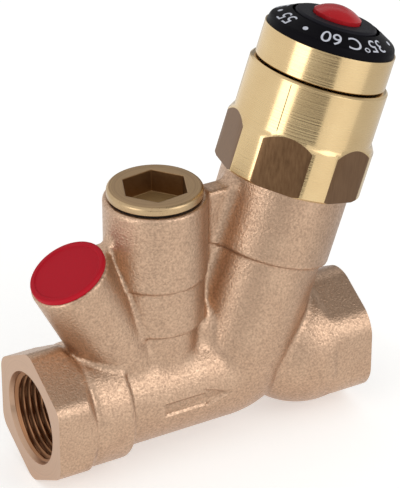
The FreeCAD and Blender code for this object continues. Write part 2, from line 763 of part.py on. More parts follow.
def handwheel():
    """Brass skirt, scale ring, hub, red cap and the screw that holds them on the spindle."""
    skirt = branch_body("handwheel_skirt")
    rim = half("skirt_dia")
    screw = "(screw_dia / 2 + thread_gap)"
    turned(skirt, "skirt_form", [
        ("0", WEB_FOOT),
        (f"{rim} - skirt_wall", WEB_FOOT),
        (f"{rim} - skirt_wall", SKIRT_FOOT),
        (f"{rim} - skirt_edge", SKIRT_FOOT),
        (rim, f"{SKIRT_FOOT} + skirt_edge"),
        (rim, SKIRT_TOP),
        ("0", SKIRT_TOP),
    ])
    padded(skirt, "drive_hole", "XY_Plane", hexagon("drive_flats + 2 * running_gap"), "skirt_web",
           cut=True, shift=("z", SKIRT_TOP))
    ring_body = branch_body("dial_ring")
    slope = "atan((dial_shelf_dia - dial_inner_dia) / (2 * dial_rise))"
    taper = "atan((dial_dia - dial_shelf_dia) / (2 * dial_rim))"
    turned(ring_body, "dial_form", [
        (half("dial_bore_dia"), SKIRT_TOP),
        (half("dial_dia"), SKIRT_TOP),
        (f"dial_shelf_dia / 2 + dial_edge * sin({taper})", f"{DIAL_SHELF} - dial_edge * cos({taper})",
         f"dial_edge / tan(({slope} - {taper}) / 2)", 1),
        (f"dial_shelf_dia / 2 - dial_edge * sin({slope})", f"{DIAL_SHELF} + dial_edge * cos({slope})"),
        (half("dial_inner_dia"), DIAL_TOP),
        (half("dial_inner_dia"), HUB_FOOT),
        (half("dial_bore_dia"), HUB_FOOT),
    ])
    hub = branch_body("dial_hub")
    bore = half("hub_bore_dia")
    seat = "(hub_cap_dia / 2 + fitting_gap)"
    spigot = "(dial_bore_dia / 2 - fitting_gap)"
    turned(hub, "hub_form", [
        (bore, SKIRT_TOP),
        (spigot, SKIRT_TOP),
        (spigot, HUB_FOOT),
        (half("hub_dia"), HUB_FOOT),
        (half("hub_dia"), f"{HUB_TOP} - hub_edge"),
        ("hub_dia / 2 - hub_edge", HUB_TOP),
        (seat, HUB_TOP),
        (seat, CAP_SEAT),
        (bore, CAP_SEAT),
    ])
    cap = branch_body("hub_cap")
    stem = "(hub_bore_dia / 2 - fitting_gap)"
    turned(cap, "hub_cap_form", [
        (f"{stem} - hub_cap_wall", CAP_STEM_FOOT),
        (stem, CAP_STEM_FOOT),
        (stem, CAP_SEAT),
        (half("hub_cap_dia"), CAP_SEAT),
        (half("hub_cap_dia"), CAP_RIM, "(hub_cap_dia ^ 2 / 4 + hub_cap_rise ^ 2) / (2 * hub_cap_rise)", 1),
        ("0", f"{CAP_RIM} + hub_cap_rise"),
        ("0", CAP_SEAT),
        (f"{stem} - hub_cap_wall", CAP_SEAT),
    ])
    bolt = branch_body("knob_screw")
    turned(bolt, "knob_screw_form", [
        ("0", f"{SKIRT_TOP} - screw_length"),
        (half("screw_dia"), f"{SKIRT_TOP} - screw_length"),
        (half("screw_dia"), SKIRT_TOP),
        (half("screw_head_dia"), SKIRT_TOP),
        (half("screw_head_dia"), f"{SKIRT_TOP} + screw_head"),
        ("0", f"{SKIRT_TOP} + screw_head"),
    ])
    padded(bolt, "screw_key", "XY_Plane", hexagon("screw_key_flats"), "screw_key_depth",
           cut=True, shift=("z", f"{SKIRT_TOP} + screw_head"))


def setting_sleeve():
    """Keyed sleeve on the spindle's thread, with the overtravel spring, its cup and the cup's clip."""
    sleeve = branch_body("setting_sleeve")
    shell = "(cavity_dia / 2 - sliding_gap)"
    bore = half("sleeve_bore_dia")
    groove = f"({bore} + clip_grip)"
    turned(sleeve, "sleeve_form", rectangle("0", shell, SLEEVE_FOOT, SLEEVE_TOP))
    key_reach = "(cavity_dia / 2 + key_depth - sliding_gap)"
    padded(sleeve, "keys", "XY_Plane",
           rectangle(f"-{key_reach}", key_reach, "-key_width / 2", half("key_width")),
           "sleeve_key_length", shift=("z", f"{SLEEVE_TOP} - sleeve_key_length"))
    nut = "(spindle_thread_dia / 2 + thread_gap)"
    turned(sleeve, "sleeve_bore", [
        ("0", SLEEVE_FOOT),
        (bore, SLEEVE_FOOT),
        (bore, CLIP_FOOT),
        (groove, CLIP_FOOT),
        (groove, CUP_FOOT),
        (bore, CUP_FOOT),
        (bore, SLEEVE_ROOF),
        (nut, SLEEVE_ROOF),
        (nut, SLEEVE_TOP),
        ("0", SLEEVE_TOP),
    ], cut=True)
    clip = branch_body("cup_clip")
    turned(clip, "clip_form", rectangle(half("clip_bore_dia"), f"{groove} - slip_gap", CLIP_FOOT, CUP_FOOT))
    cup = branch_body("thrust_cup")
    plate = f"({bore} - fitting_gap)"
    pin = "(pin_dia / 2 + running_gap)"
    turned(cup, "cup_form", [
        ("0", f"{CUP_FOOT} + cup_socket"),
        (pin, f"{CUP_FOOT} + cup_socket"),
        (pin, CUP_FOOT),
        (plate, CUP_FOOT),
        (plate, CUP_TOP),
        ("0", CUP_TOP),
    ])
    spring = branch_body("overtravel_spring")
    coil(spring, "overtravel_coil", f"({bore} - fitting_gap - overtravel_wire / 2)", CUP_TOP, SLEEVE_ROOF,
         "overtravel_wire", "overtravel_turns")


def wax_insert():
    """Piston pin, wax element, plunger with its washer and screw, and the return spring."""
    pin = branch_body("piston_pin")
    pin_foot = f"({ELEMENT_TOP} - pin_plunge)"
    pin_top = f"({CUP_FOOT} + cup_socket)"
    turned(pin, "pin_form", rectangle("0", half("pin_dia"), pin_foot, pin_top))
    element = branch_body("wax_element")
    bore = "(pin_dia / 2 + running_gap)"
    bore_foot = f"({pin_foot} - seating_gap)"
    turned(element, "element_form", [
        ("0", PLUNGER_DISC_TOP),
        (half("element_dia"), PLUNGER_DISC_TOP),
        (half("element_dia"), ELEMENT_FLANGE_FOOT),
        (half("element_flange_dia"), ELEMENT_FLANGE_FOOT),
        (half("element_flange_dia"), ELEMENT_FLANGE_TOP),
        (half("element_neck_dia"), ELEMENT_FLANGE_TOP),
        (half("element_neck_dia"), ELEMENT_TOP),
        (bore, ELEMENT_TOP),
        (bore, bore_foot),
        ("0", bore_foot),
    ])
    plunger = branch_body("valve_plunger")
    socket = "(element_dia / 2 + running_gap)"
    tapped = "(washer_screw_dia / 2 + thread_gap)"
    tapped_top = f"({PLUNGER_FOOT} + washer_screw_length)"
    turned(plunger, "plunger_form", [
        (tapped, PLUNGER_FOOT),
        (half("plunger_dia"), PLUNGER_FOOT),
        (half("plunger_dia"), PLUNGER_DISC_TOP),
        (half("plunger_hub_dia"), PLUNGER_DISC_TOP),
        (half("plunger_hub_dia"), PLUNGER_HUB_TOP),
        (socket, PLUNGER_HUB_TOP),
        (socket, PLUNGER_DISC_TOP),
        ("0", PLUNGER_DISC_TOP),
        ("0", tapped_top),
        (tapped, tapped_top),
    ])
    washer = branch_body("seat_washer")
    turned(washer, "seat_washer_form",
           rectangle(tapped, half("seat_washer_dia"), WASHER_FOOT, PLUNGER_FOOT))
    screw = branch_body("washer_screw")
    shank = half("washer_screw_dia")
    head_foot = f"({WASHER_FOOT} - washer_screw_head)"
    shank_top = f"({tapped_top} - slip_gap)"
    turned(screw, "washer_screw_form", [
        ("0", head_foot),
        (half("washer_screw_head_dia"), head_foot),
        (half("washer_screw_head_dia"), WASHER_FOOT),
        (shank, WASHER_FOOT),
        (shank, shank_top),
        ("0", shank_top),
    ])
    spring = branch_body("return_spring")
    coil(spring, "return_coil", half("return_dia"), "seat_reach", ELEMENT_FLANGE_FOOT,
         "return_wire", "return_turns")


def check_and_write():
    """Stop on any failed object, then write one file for each sub-part."""
    doc.recompute()
    failed = [item.Name for item in doc.Objects if {"Invalid", "Error"} & set(item.State)]
    if failed:
        raise RuntimeError(f"failed objects: {failed}")
    for part in sub_parts:
        if part.Shape.isNull() or not part.Shape.isValid():
            raise RuntimeError(f"{part.Label} has no valid shape")
    os.makedirs("parts", exist_ok=True)
    for part in sub_parts:
        part.Shape.exportStep(f"parts/{part.Label}.step")
        print(part.Label, len(part.Shape.Solids), round(part.Shape.Volume, 1))


valve_body()
service_plug()
pocket_cap()
bonnet()
spindle()
handwheel()
setting_sleeve()
wax_insert()
check_and_write()
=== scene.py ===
# %% [markdown]
# # A circulation valve with a temperature dial
# The valve keeps the water of a hot-water loop at a set temperature. Its body is a sand casting of
# gunmetal, and its upper part is turned from brass bar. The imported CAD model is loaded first, because
# every piece made below sits in its frame, in metres, and moves with one of its bodies.

# %% Load the frame
import math

import bmesh
import bpy
import numpy as np
import openvdb
from mathutils import Matrix, Vector


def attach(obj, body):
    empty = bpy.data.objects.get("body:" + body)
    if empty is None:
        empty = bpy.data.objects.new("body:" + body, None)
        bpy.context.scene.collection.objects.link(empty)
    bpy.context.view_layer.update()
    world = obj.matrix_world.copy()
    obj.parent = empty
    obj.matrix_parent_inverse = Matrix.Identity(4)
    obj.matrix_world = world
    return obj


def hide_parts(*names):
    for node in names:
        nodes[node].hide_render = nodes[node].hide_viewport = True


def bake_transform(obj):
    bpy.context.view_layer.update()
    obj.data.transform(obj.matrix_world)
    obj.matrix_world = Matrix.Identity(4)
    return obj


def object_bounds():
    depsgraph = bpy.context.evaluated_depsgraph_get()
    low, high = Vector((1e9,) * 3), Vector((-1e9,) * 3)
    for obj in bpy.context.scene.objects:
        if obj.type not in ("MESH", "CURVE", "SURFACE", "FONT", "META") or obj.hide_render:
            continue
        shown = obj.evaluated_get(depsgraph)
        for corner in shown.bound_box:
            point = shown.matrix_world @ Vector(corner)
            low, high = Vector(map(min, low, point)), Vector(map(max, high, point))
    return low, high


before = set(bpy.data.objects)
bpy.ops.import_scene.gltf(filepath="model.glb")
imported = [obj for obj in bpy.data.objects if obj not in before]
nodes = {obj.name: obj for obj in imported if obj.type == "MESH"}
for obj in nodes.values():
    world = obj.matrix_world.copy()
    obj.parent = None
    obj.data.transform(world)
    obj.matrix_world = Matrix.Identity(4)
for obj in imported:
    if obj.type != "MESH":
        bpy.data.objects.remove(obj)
cad_low, cad_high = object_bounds()

# %% [markdown]
# ## Camera
# The photograph was taken from the front, towards the inlet's side, looking down by about thirty degrees
# with a long lens. The camera's place and lens were worked out from points that are easy to find in the
# picture, such as the rims of the two ends. A camera placed by such points needs no fitting by eye.

# %% Camera
MM = 0.001
IMAGE_LONG_SIDE = 488
FOCAL_PIXELS = 2569.7
SENSOR = 36.0
CAMERA_PLACE = Vector((-261.4, -552.0, 393.7)) * MM
CAMERA_TARGET = Vector((55.0, 0.0, 40.8)) * MM

camera = bpy.data.objects.new("camera", bpy.data.cameras.new("camera"))
bpy.context.scene.collection.objects.link(camera)
camera.location = CAMERA_PLACE
camera.rotation_mode = "QUATERNION"
camera.rotation_quaternion = (CAMERA_TARGET - CAMERA_PLACE).to_track_quat("-Z", "Y")
camera.data.sensor_width = SENSOR
camera.data.lens = SENSOR * FOCAL_PIXELS / IMAGE_LONG_SIDE
bpy.context.scene.camera = camera
bpy.context.scene.view_settings.view_transform = "Standard"
print("lens:", round(camera.data.lens, 1), "mm")

# %% [markdown]
# ## Helpers for materials
# Colours are easiest to read as the hex values of a paint program, but shaders work in linear light, so
# one function converts them. A second adds a node, sets it up and links it, a third starts a material with
# its shader, and the last turns a size in millimetres into a texture's scale. With these, every material
# below is a short list of what its surface does.

# %% Colour and nodes
def linear(hex_colour):
    """Linear RGBA from an sRGB hex colour."""
    values = [int(hex_colour[place:place + 2], 16) / 255 for place in (1, 3, 5)]
    return tuple(v / 12.92 if v <= 0.04045 else ((v + 0.055) / 1.055) ** 2.4 for v in values) + (1.0,)


def add(tree, kind, links=None, **settings):
    """A new node. Settings are its own properties or the values of its inputs; links feed its inputs."""
    node = tree.nodes.new(kind)
    for name, value in settings.items():
        if hasattr(node, name):
            setattr(node, name, value)
        else:
            node.inputs[name.replace("_", " ")].default_value = value
    for name, socket in (links or {}).items():
        tree.links.new(socket, node.inputs[name])
    return node


def start_material(name, **constants):
    """An empty material with one shader, whose constants are set on its own sockets."""
    material = bpy.data.materials.new(name)
    material.use_nodes = True
    tree = material.node_tree
    tree.nodes.clear()
    shader = add(tree, "ShaderNodeBsdfPrincipled", **constants)
    add(tree, "ShaderNodeOutputMaterial", {"Surface": shader.outputs[0]})
    place = add(tree, "ShaderNodeTexCoord").outputs["Object"]
    return material, tree, shader, place


def per_mm(size):
    """Texture scale that gives features of this size in millimetres, as coordinates are in metres."""
    return 1 / (size * MM)


print("white is", linear("#FFFFFF"))

# %% [markdown]
# ## Sand-cast gunmetal
# Gunmetal is a tin bronze. Poured into a sand mould it keeps the print of the sand grains, and shot
# blasting then leaves a satin skin that sparkles. The eye sees a pinkish tan with a fine grain. A noise of
# that size drives colour, gloss and bump together, so that each grain is a speck with its own shine. It is
# drawn coarser than the real 0.3 mm so that it shows at this distance.

# %% Cast gunmetal
GRAIN, GRAIN_RELIEF = 0.65, 0.16
BLOTCH = 7.0

cast_gunmetal, tree, shader, place = start_material("sand_cast_gunmetal", Metallic=1.0)
grain = add(tree, "ShaderNodeTexNoise", {"Vector": place}, Scale=per_mm(GRAIN), Detail=2.0, Roughness=0.6)
blotch = add(tree, "ShaderNodeTexNoise", {"Vector": place}, Scale=per_mm(BLOTCH), Detail=2.0)
patches = add(tree, "ShaderNodeMix", {0: blotch.outputs["Fac"]}, data_type="RGBA")
patches.inputs["A"].default_value = linear("#B8987F")
patches.inputs["B"].default_value = linear("#C8A98F")
speck = add(tree, "ShaderNodeMapRange", {"Value": grain.outputs["Fac"]},
            From_Min=0.3, From_Max=0.7, To_Min=0.74, To_Max=1.16)
tint = add(tree, "ShaderNodeMix", {"A": patches.outputs["Result"], "B": speck.outputs[0]},
           data_type="RGBA", blend_type="MULTIPLY")
tint.inputs[0].default_value = 1.0
gloss = add(tree, "ShaderNodeMapRange", {"Value": grain.outputs["Fac"]},
            From_Min=0.3, From_Max=0.7, To_Min=0.46, To_Max=0.28)
relief = add(tree, "ShaderNodeBump", {"Height": grain.outputs["Fac"]},
             Strength=1.0, Distance=GRAIN_RELIEF * MM)
tree.links.new(tint.outputs["Result"], shader.inputs["Base Color"])
tree.links.new(gloss.outputs[0], shader.inputs["Roughness"])
tree.links.new(relief.outputs[0], shader.inputs["Normal"])
print("made", cast_gunmetal.name)

# %% [markdown]
# ## Faced and bored surfaces
# The ends and the bores are cut on a lathe after casting. The cut skin is smooth and even, with the feed
# lines of the tool as circles about the pipe. The thread is duller, as its flanks are torn a little, and
# its colour is darker and browner as painted shade of the bore. The plug's top is faced in the same way
# about its own axis. A noise of the distance from the axis gives such circles. Real feed lines are about
# 0.1 mm apart;
# they are drawn at 0.5 mm so that they show.

# %% Machined metal
FEED, FEED_RELIEF = 0.5, 0.03
BOSS_PLACE = 40.6

# Dark and light colour, roughness from and to, the directions across the axis, strength of the lines.
CUT_FINISHES = {
    "machined_gunmetal": ("#B5957D", "#C9A88E", 0.26, 0.4, (0, 1, 1), 0.25),
    # The thread's darker, browner colours are painted shade of the bore; its higher roughness is real.
    "thread_gunmetal_painted_shade": ("#8A6146", "#A57A58", 0.42, 0.58, (0, 1, 1), 0.25),
    "faced_brass": ("#86694C", "#BA9D76", 0.28, 0.42, (1, 1, 0), 0.5),
}
cut = {}
for name, (dark, light, smooth, rough, across, strength) in CUT_FINISHES.items():
    material, tree, shader, place = start_material(name, Metallic=1.0)
    # The plug's axis stands at the boss. The pipe's axis lies along x, which its finishes leave out.
    centred = add(tree, "ShaderNodeVectorMath", {0: place}, operation="SUBTRACT")
    centred.inputs[1].default_value = (BOSS_PLACE * MM, 0, 0)
    flat = add(tree, "ShaderNodeVectorMath", {0: centred.outputs[0]}, operation="MULTIPLY")
    flat.inputs[1].default_value = across
    radius = add(tree, "ShaderNodeVectorMath", {0: flat.outputs[0]}, operation="LENGTH")
    lines = add(tree, "ShaderNodeTexNoise", {"W": radius.outputs["Value"]}, noise_dimensions="1D",
                Scale=per_mm(FEED), Detail=2.0)
    tint = add(tree, "ShaderNodeMix", {0: lines.outputs["Fac"]}, data_type="RGBA")
    tint.inputs["A"].default_value = linear(dark)
    tint.inputs["B"].default_value = linear(light)
    gloss = add(tree, "ShaderNodeMapRange", {"Value": lines.outputs["Fac"]}, To_Min=smooth, To_Max=rough)
    relief = add(tree, "ShaderNodeBump", {"Height": lines.outputs["Fac"]},
                 Strength=strength, Distance=FEED_RELIEF * MM)
    tree.links.new(tint.outputs["Result"], shader.inputs["Base Color"])
    tree.links.new(gloss.outputs[0], shader.inputs["Roughness"])
    tree.links.new(relief.outputs[0], shader.inputs["Normal"])
    cut[name] = material
print("made", ", ".join(cut))

# %% [markdown]
# ## Turned brass
# The bonnet and the ring above it are turned from brass bar. The tool leaves fine grooves round the axis,
# which stretch each highlight along the axis, so the barrel shows bright and dark bands from end to end.
# An anisotropic shader does this when its tangent is the axis. The grooves themselves are a noise that
# changes only along the axis, drawn coarser than the real 0.1 mm feed.

# %% Turned brass
BRANCH_PLACE, BRANCH_LEAN = 64.3, 19.0
BRANCH_FOOT = Vector((BRANCH_PLACE, 0.0, 0.0)) * MM
BRANCH_TILT = math.radians(BRANCH_LEAN)
BRANCH_AXIS = Vector((math.sin(BRANCH_TILT), 0.0, math.cos(BRANCH_TILT)))
TOOL_GROOVE, TOOL_RELIEF = 0.35, 0.02
SMEAR = 9.0

turned_brass, tree, shader, place = start_material("turned_brass", Metallic=1.0, Anisotropic=0.75)
along = add(tree, "ShaderNodeVectorMath", {0: place}, operation="DOT_PRODUCT")
along.inputs[1].default_value = BRANCH_AXIS
grooves = add(tree, "ShaderNodeTexNoise", {"W": along.outputs["Value"]}, noise_dimensions="1D",
              Scale=per_mm(TOOL_GROOVE), Detail=3.0, Roughness=0.7)
smears = add(tree, "ShaderNodeTexNoise", {"Vector": place}, Scale=per_mm(SMEAR), Detail=2.0)
tint = add(tree, "ShaderNodeMix", {0: smears.outputs["Fac"]}, data_type="RGBA")
tint.inputs["A"].default_value = linear("#D0B283")
tint.inputs["B"].default_value = linear("#DEC496")
gloss = add(tree, "ShaderNodeMapRange", {"Value": grooves.outputs["Fac"]},
            From_Min=0.3, From_Max=0.7, To_Min=0.14, To_Max=0.34)
relief = add(tree, "ShaderNodeBump", {"Height": grooves.outputs["Fac"]},
             Strength=0.2, Distance=TOOL_RELIEF * MM)
tangent = add(tree, "ShaderNodeCombineXYZ", X=BRANCH_AXIS.x, Y=BRANCH_AXIS.y, Z=BRANCH_AXIS.z)
tree.links.new(tint.outputs["Result"], shader.inputs["Base Color"])
tree.links.new(gloss.outputs[0], shader.inputs["Roughness"])
tree.links.new(relief.outputs[0], shader.inputs["Normal"])
tree.links.new(tangent.outputs[0], shader.inputs["Tangent"])
print("made", turned_brass.name)

# %% [markdown]
# ## Milled flats
# The six wrench flats are milled across the round bar. They are flat mirrors with faint lines along the
# axis. Their colour is a darker, browner brass than the turned surface next to them, a painted reflection
# of the dark studio that such mirrors show, so they look much darker than the barrel. The lines are a noise
# that is turned to the axis and stretched along it.

# %% Milled brass
MILL_LINE, MILL_STRETCH = 0.6, 0.03

milled_brass_painted_reflection, tree, shader, place = start_material("milled_brass_painted_reflection", Metallic=1.0)
around = add(tree, "ShaderNodeMapping", {"Vector": place})
around.inputs["Rotation"].default_value = (0.0, -BRANCH_TILT, 0.0)
around.inputs["Scale"].default_value = (1.0, 1.0, MILL_STRETCH)
lines = add(tree, "ShaderNodeTexNoise", {"Vector": around.outputs[0]}, Scale=per_mm(MILL_LINE), Detail=2.0)
tint = add(tree, "ShaderNodeMix", {0: lines.outputs["Fac"]}, data_type="RGBA")
# These dark browns are painted reflection: the flats are the same brass as the barrel, darkened as if a
# dark studio showed in them.
tint.inputs["A"].default_value = linear("#674B34")
tint.inputs["B"].default_value = linear("#836549")
gloss = add(tree, "ShaderNodeMapRange", {"Value": lines.outputs["Fac"]}, To_Min=0.28, To_Max=0.4)
tree.links.new(tint.outputs["Result"], shader.inputs["Base Color"])
tree.links.new(gloss.outputs[0], shader.inputs["Roughness"])
print("made", milled_brass_painted_reflection.name)

# %% [markdown]
# ## Other finishes
# The plug's socket is broached and its floor drilled, and its rim is worn. The socket's walls are painted
# darker as shade and its floor lighter as painted light, on the same brass. The caps are moulded
# polyethylene and ABS, the dial is black nylon with a grey hub. Each has its own small unevenness: moulded
# plastic is never quite flat, ground steel is fine and even, rubber is dull. A loop sets them up from a
# table, because they differ only in colour, gloss and grain.

# %% Plain finishes
GRAIN_STRENGTH = 0.4

# Dark and light colour, metal, specular level, roughness from and to, size and depth of the grain in mm.
FINISHES = {
    # The next two rows are the plug socket's walls and floor: painted shade on the walls, painted light on
    # the lighter floor, both the same brass.
    "socket_wall_brass_painted_shade": ("#6E5034", "#866443", 1.0, 0.5, 0.4, 0.55, 0.8, 0.02),
    "socket_floor_brass_painted_light": ("#A98D62", "#BDA173", 1.0, 0.5, 0.55, 0.75, 0.6, 0.03),
    "worn_brass": ("#AE9370", "#C4AA84", 1.0, 0.5, 0.25, 0.38, 0.9, 0.02),
    "bright_brass": ("#D2B57C", "#DDC28C", 1.0, 0.5, 0.25, 0.35, 1.5, 0.01),
    "red_polyethylene": ("#AC1122", "#B81828", 0.0, 0.1, 0.42, 0.55, 0.8, 0.02),
    "red_abs": ("#AE161E", "#BC1E26", 0.0, 0.25, 0.18, 0.3, 2.5, 0.01),
    "black_nylon": ("#08070B", "#0E0C11", 0.0, 0.05, 0.38, 0.52, 0.5, 0.02),
    "grey_nylon": ("#16151B", "#1E1D24", 0.0, 0.1, 0.42, 0.58, 0.45, 0.03),
    "drawn_spring_steel": ("#8E8F92", "#A5A6A8", 1.0, 0.5, 0.25, 0.4, 0.6, 0.01),
    "ground_stainless_steel": ("#A3A4A6", "#B9BABC", 1.0, 0.5, 0.2, 0.34, 0.4, 0.01),
    "nitrile_rubber": ("#131313", "#1E1E1E", 0.0, 0.2, 0.6, 0.8, 0.4, 0.03),
    "white_ptfe": ("#DCDCD6", "#E8E8E3", 0.0, 0.2, 0.35, 0.5, 0.9, 0.01),
    "pad_print_ink": ("#C3C6D2", "#D4D6DF", 0.0, 0.2, 0.5, 0.65, 0.4, 0.005),
    # The index line's darker brass is painted shade that stands for its scribed groove.
    "index_line_brass_painted_shade": ("#6E5632", "#80663E", 1.0, 0.5, 0.5, 0.6, 0.4, 0.01),
}
finish = {}
for name, (dark, light, metal, shine, smooth, rough, size, depth) in FINISHES.items():
    material, tree, shader, place = start_material(name, Metallic=metal, Specular_IOR_Level=shine)
    grain = add(tree, "ShaderNodeTexNoise", {"Vector": place}, Scale=per_mm(size), Detail=3.0)
    tint = add(tree, "ShaderNodeMix", {0: grain.outputs["Fac"]}, data_type="RGBA")
    tint.inputs["A"].default_value = linear(dark)
    tint.inputs["B"].default_value = linear(light)
    gloss = add(tree, "ShaderNodeMapRange", {"Value": grain.outputs["Fac"]},
                From_Min=0.3, From_Max=0.7, To_Min=smooth, To_Max=rough)
    relief = add(tree, "ShaderNodeBump", {"Height": grain.outputs["Fac"]},
                 Strength=GRAIN_STRENGTH, Distance=depth * MM)
    tree.links.new(tint.outputs["Result"], shader.inputs["Base Color"])
    tree.links.new(gloss.outputs[0], shader.inputs["Roughness"])
    tree.links.new(relief.outputs[0], shader.inputs["Normal"])
    finish[name] = material
print("made", ", ".join(finish))

# %% [markdown]
# ## The cast body as a distance field
# On the real casting every joint between two forms has a soft fillet, because the pattern maker rounds
# them so that the metal flows. Fillets between slanted cylinders, webs and a pipe are hard to draw by
# hand. A distance field makes them simple: each form says how far a point is from its skin, and a rounded
# union of two fields is a fillet of a chosen radius. The forms have the sizes of the CAD body, in
# millimetres.

# %% Grid of points
VOXEL = 0.6
FIELD_LOW = np.array([-4.0, -24.0, -24.0])
FIELD_HIGH = np.array([107.0, 24.0, 67.0])

steps = [np.arange(low, high, VOXEL, dtype=np.float32) for low, high in zip(FIELD_LOW, FIELD_HIGH)]
X, Y, Z = np.meshgrid(*steps, indexing="ij", sparse=True)
print("field:", [len(s) for s in steps])

# %% [markdown]
# ## Distances and fillets
# Most forms are turned, so an outline of corner points and the distance to it are enough: the two
# coordinates are then the radius and the height about the form's axis. Two fields are joined with a soft
# crease, or one is cut out of the other with a soft edge.

# %% Distances
def outline_distance(u, v, corners):
    """Signed distance from the points (u, v) to a closed outline, negative inside."""
    nearest = np.inf
    inside = False
    for (u0, v0), (u1, v1) in zip(corners, corners[1:] + corners[:1]):
        du, dv = u1 - u0, v1 - v0
        share = np.clip(((u - u0) * du + (v - v0) * dv) / (du * du + dv * dv), 0, 1)
        nearest = np.minimum(nearest, (u - u0 - share * du) ** 2 + (v - v0 - share * dv) ** 2)
        if dv:
            crossed = ((v0 > v) != (v1 > v)) & (u < du * (v - v0) / dv + u0)
            inside = inside ^ crossed
    return np.where(inside, -1, 1) * np.sqrt(nearest)


def rounded_union(first, second, radius):
    """Union of two fields with a fillet of this radius in the crease."""
    reach = np.hypot(np.maximum(radius - first, 0), np.maximum(radius - second, 0))
    return np.maximum(radius, np.minimum(first, second)) - reach


def rounded_cut(first, second, radius):
    """The first field without the second, with a soft edge of this radius."""
    reach = np.hypot(np.maximum(radius + first, 0), np.maximum(radius - second, 0))
    return np.minimum(-radius, np.maximum(first, -second)) + reach


def arc(start, end, radius, turn, count=10):
    """Points from start to just before end on an arc that turns left (1) or right (-1)."""
    start, end = np.array(start), np.array(end)
    chord = end - start
    left = np.array([-chord[1], chord[0]]) / np.linalg.norm(chord)
    rise = math.sqrt(max(radius ** 2 - (chord @ chord) / 4, 0))
    centre = (start + end) / 2 + left * rise * turn
    first = math.atan2(*(start - centre)[::-1])
    swing = (math.atan2(*(end - centre)[::-1]) - first + math.pi) % (2 * math.pi) - math.pi
    angles = first + swing * np.arange(count) / count
    return [tuple(centre + radius * np.array([math.cos(a), math.sin(a)])) for a in angles]


def leaning(place, tilt):
    """Radius and height of every point about an axis that leans by tilt degrees at a place on the pipe."""
    lean = math.radians(tilt)
    across = (X - place) * math.cos(lean) - Z * math.sin(lean)
    return np.hypot(across, Y), (X - place) * math.sin(lean) + Z * math.cos(lean)


print("a square's middle lies", outline_distance(1.0, 1.0, [(0, 0), (2, 0), (2, 2), (0, 2)]), "from it")

# %% [markdown]
# ## Pipe run
# The run is one turned outline: a collar behind the inlet's hexagon, a straight tube, a waist under the
# branch and a bulge towards the outlet. It starts a little inside the hexagon, so that the two join, and
# it is left a little long at the outlet, which is faced off later. The outline goes past the axis, so that
# no skin forms there.

# %% Run
AXIS_SIDE = -20.0
STOCK = 2.0
RUN, HEX_LENGTH = 102.6, 12.3
COLLAR, COLLAR_END, COLLAR_ROUND = 18.3, 24.5, 1.3
TUBE, TUBE_FILLET, TUBE_END = 15.7, 1.2, 58.0
WAIST, WAIST_PLACE, WAIST_ARC = 12.9, 72.9, 34.0
BULGE, BULGE_PLACE, BULGE_ARC = 19.0, 89.0, 24.1
OUTLET_RADIUS, OUTLET_PLACE = 20.0, 92.0
LAP, LEAD = 2.0, 1.0

rho = np.hypot(Y, Z)
run = outline_distance(X, rho, [
    (HEX_LENGTH - LAP, AXIS_SIDE), (HEX_LENGTH - LAP, COLLAR - LEAD), (HEX_LENGTH, COLLAR),
    *arc((COLLAR_END - COLLAR_ROUND, COLLAR), (COLLAR_END, COLLAR - COLLAR_ROUND), COLLAR_ROUND, -1, 5),
    *arc((COLLAR_END, TUBE + TUBE_FILLET), (COLLAR_END + TUBE_FILLET, TUBE), TUBE_FILLET, 1, 5),
    *arc((TUBE_END, TUBE), (WAIST_PLACE, WAIST), WAIST_ARC, -1),
    *arc((WAIST_PLACE, WAIST), (BULGE_PLACE, BULGE), BULGE_ARC, -1),
    (BULGE_PLACE, BULGE), (OUTLET_PLACE, OUTLET_RADIUS),
    (RUN + STOCK, OUTLET_RADIUS), (RUN + STOCK, AXIS_SIDE),
])
print("run:", RUN, "mm long, cells:", run.size)

# %% [markdown]
# ## Wrench ends
# Each end has six flats for a wrench. At the inlet they are a hexagon with rounded edges, bevelled
# towards the collar and set off from it by a shallow groove. At the outlet the flats are planed off a
# round end, so they run out into the bulge on a slope.

# %% Wrench ends
HEX_FLATS, INLET_CORNER, OUTLET_CORNER = 36.4, 5.5, 9.0
BEVEL_SLOPE = 1.7
GROOVE_PLACE, GROOVE_TIP, GROOVE_FLARE, GROOVE_ROUND = 12.6, COLLAR + 0.3, 1.5, 0.7
GROOVE_BACK, OUTSIDE = 9.0, 25.0
OUTLET_FLATS, RAMP_SLOPE = 90.5, 0.8


def hexagon(corner):
    """Distance to a hexagonal bar about the pipe, which stands on an edge and has round edges."""
    inner = HEX_FLATS / 2 - corner
    up, side = np.abs(Z), np.abs(Y)
    fold = np.minimum(side - up * math.sqrt(3), 0) / 2
    up, side = up + fold * math.sqrt(3), side - fold
    up, side = up - np.clip(up, -inner / math.sqrt(3), inner / math.sqrt(3)), side - inner
    return np.hypot(up, np.maximum(side, 0)) + np.minimum(side, 0) - corner


bevel = (rho - COLLAR - BEVEL_SLOPE * (HEX_LENGTH - X)) / math.hypot(1, BEVEL_SLOPE)
slab = np.maximum(X - HEX_LENGTH, -STOCK - X)
inlet_end = np.maximum(np.maximum(hexagon(INLET_CORNER), bevel), slab)
groove = outline_distance(X, rho, [
    (GROOVE_PLACE, GROOVE_TIP), (GROOVE_PLACE + GROOVE_FLARE, GROOVE_TIP + GROOVE_FLARE),
    (GROOVE_PLACE + GROOVE_FLARE, OUTSIDE), (GROOVE_BACK, OUTSIDE),
    (GROOVE_PLACE - GROOVE_FLARE, GROOVE_TIP + GROOVE_FLARE),
]) - GROOVE_ROUND
around_flats = RAMP_SLOPE * np.maximum(OUTLET_FLATS - X, 0) - hexagon(OUTLET_CORNER)
print("wrench size:", HEX_FLATS, "mm")

# %% [markdown]
# ## Branch and bosses
# The slanted branch takes the regulating insert, the stepped boss takes the plug, and the slanted boss
# takes a thermometer. Each is a turned outline about its own axis, with the ledges and round edges that
# the pattern has. The branch is left a little long, because it is faced off later.

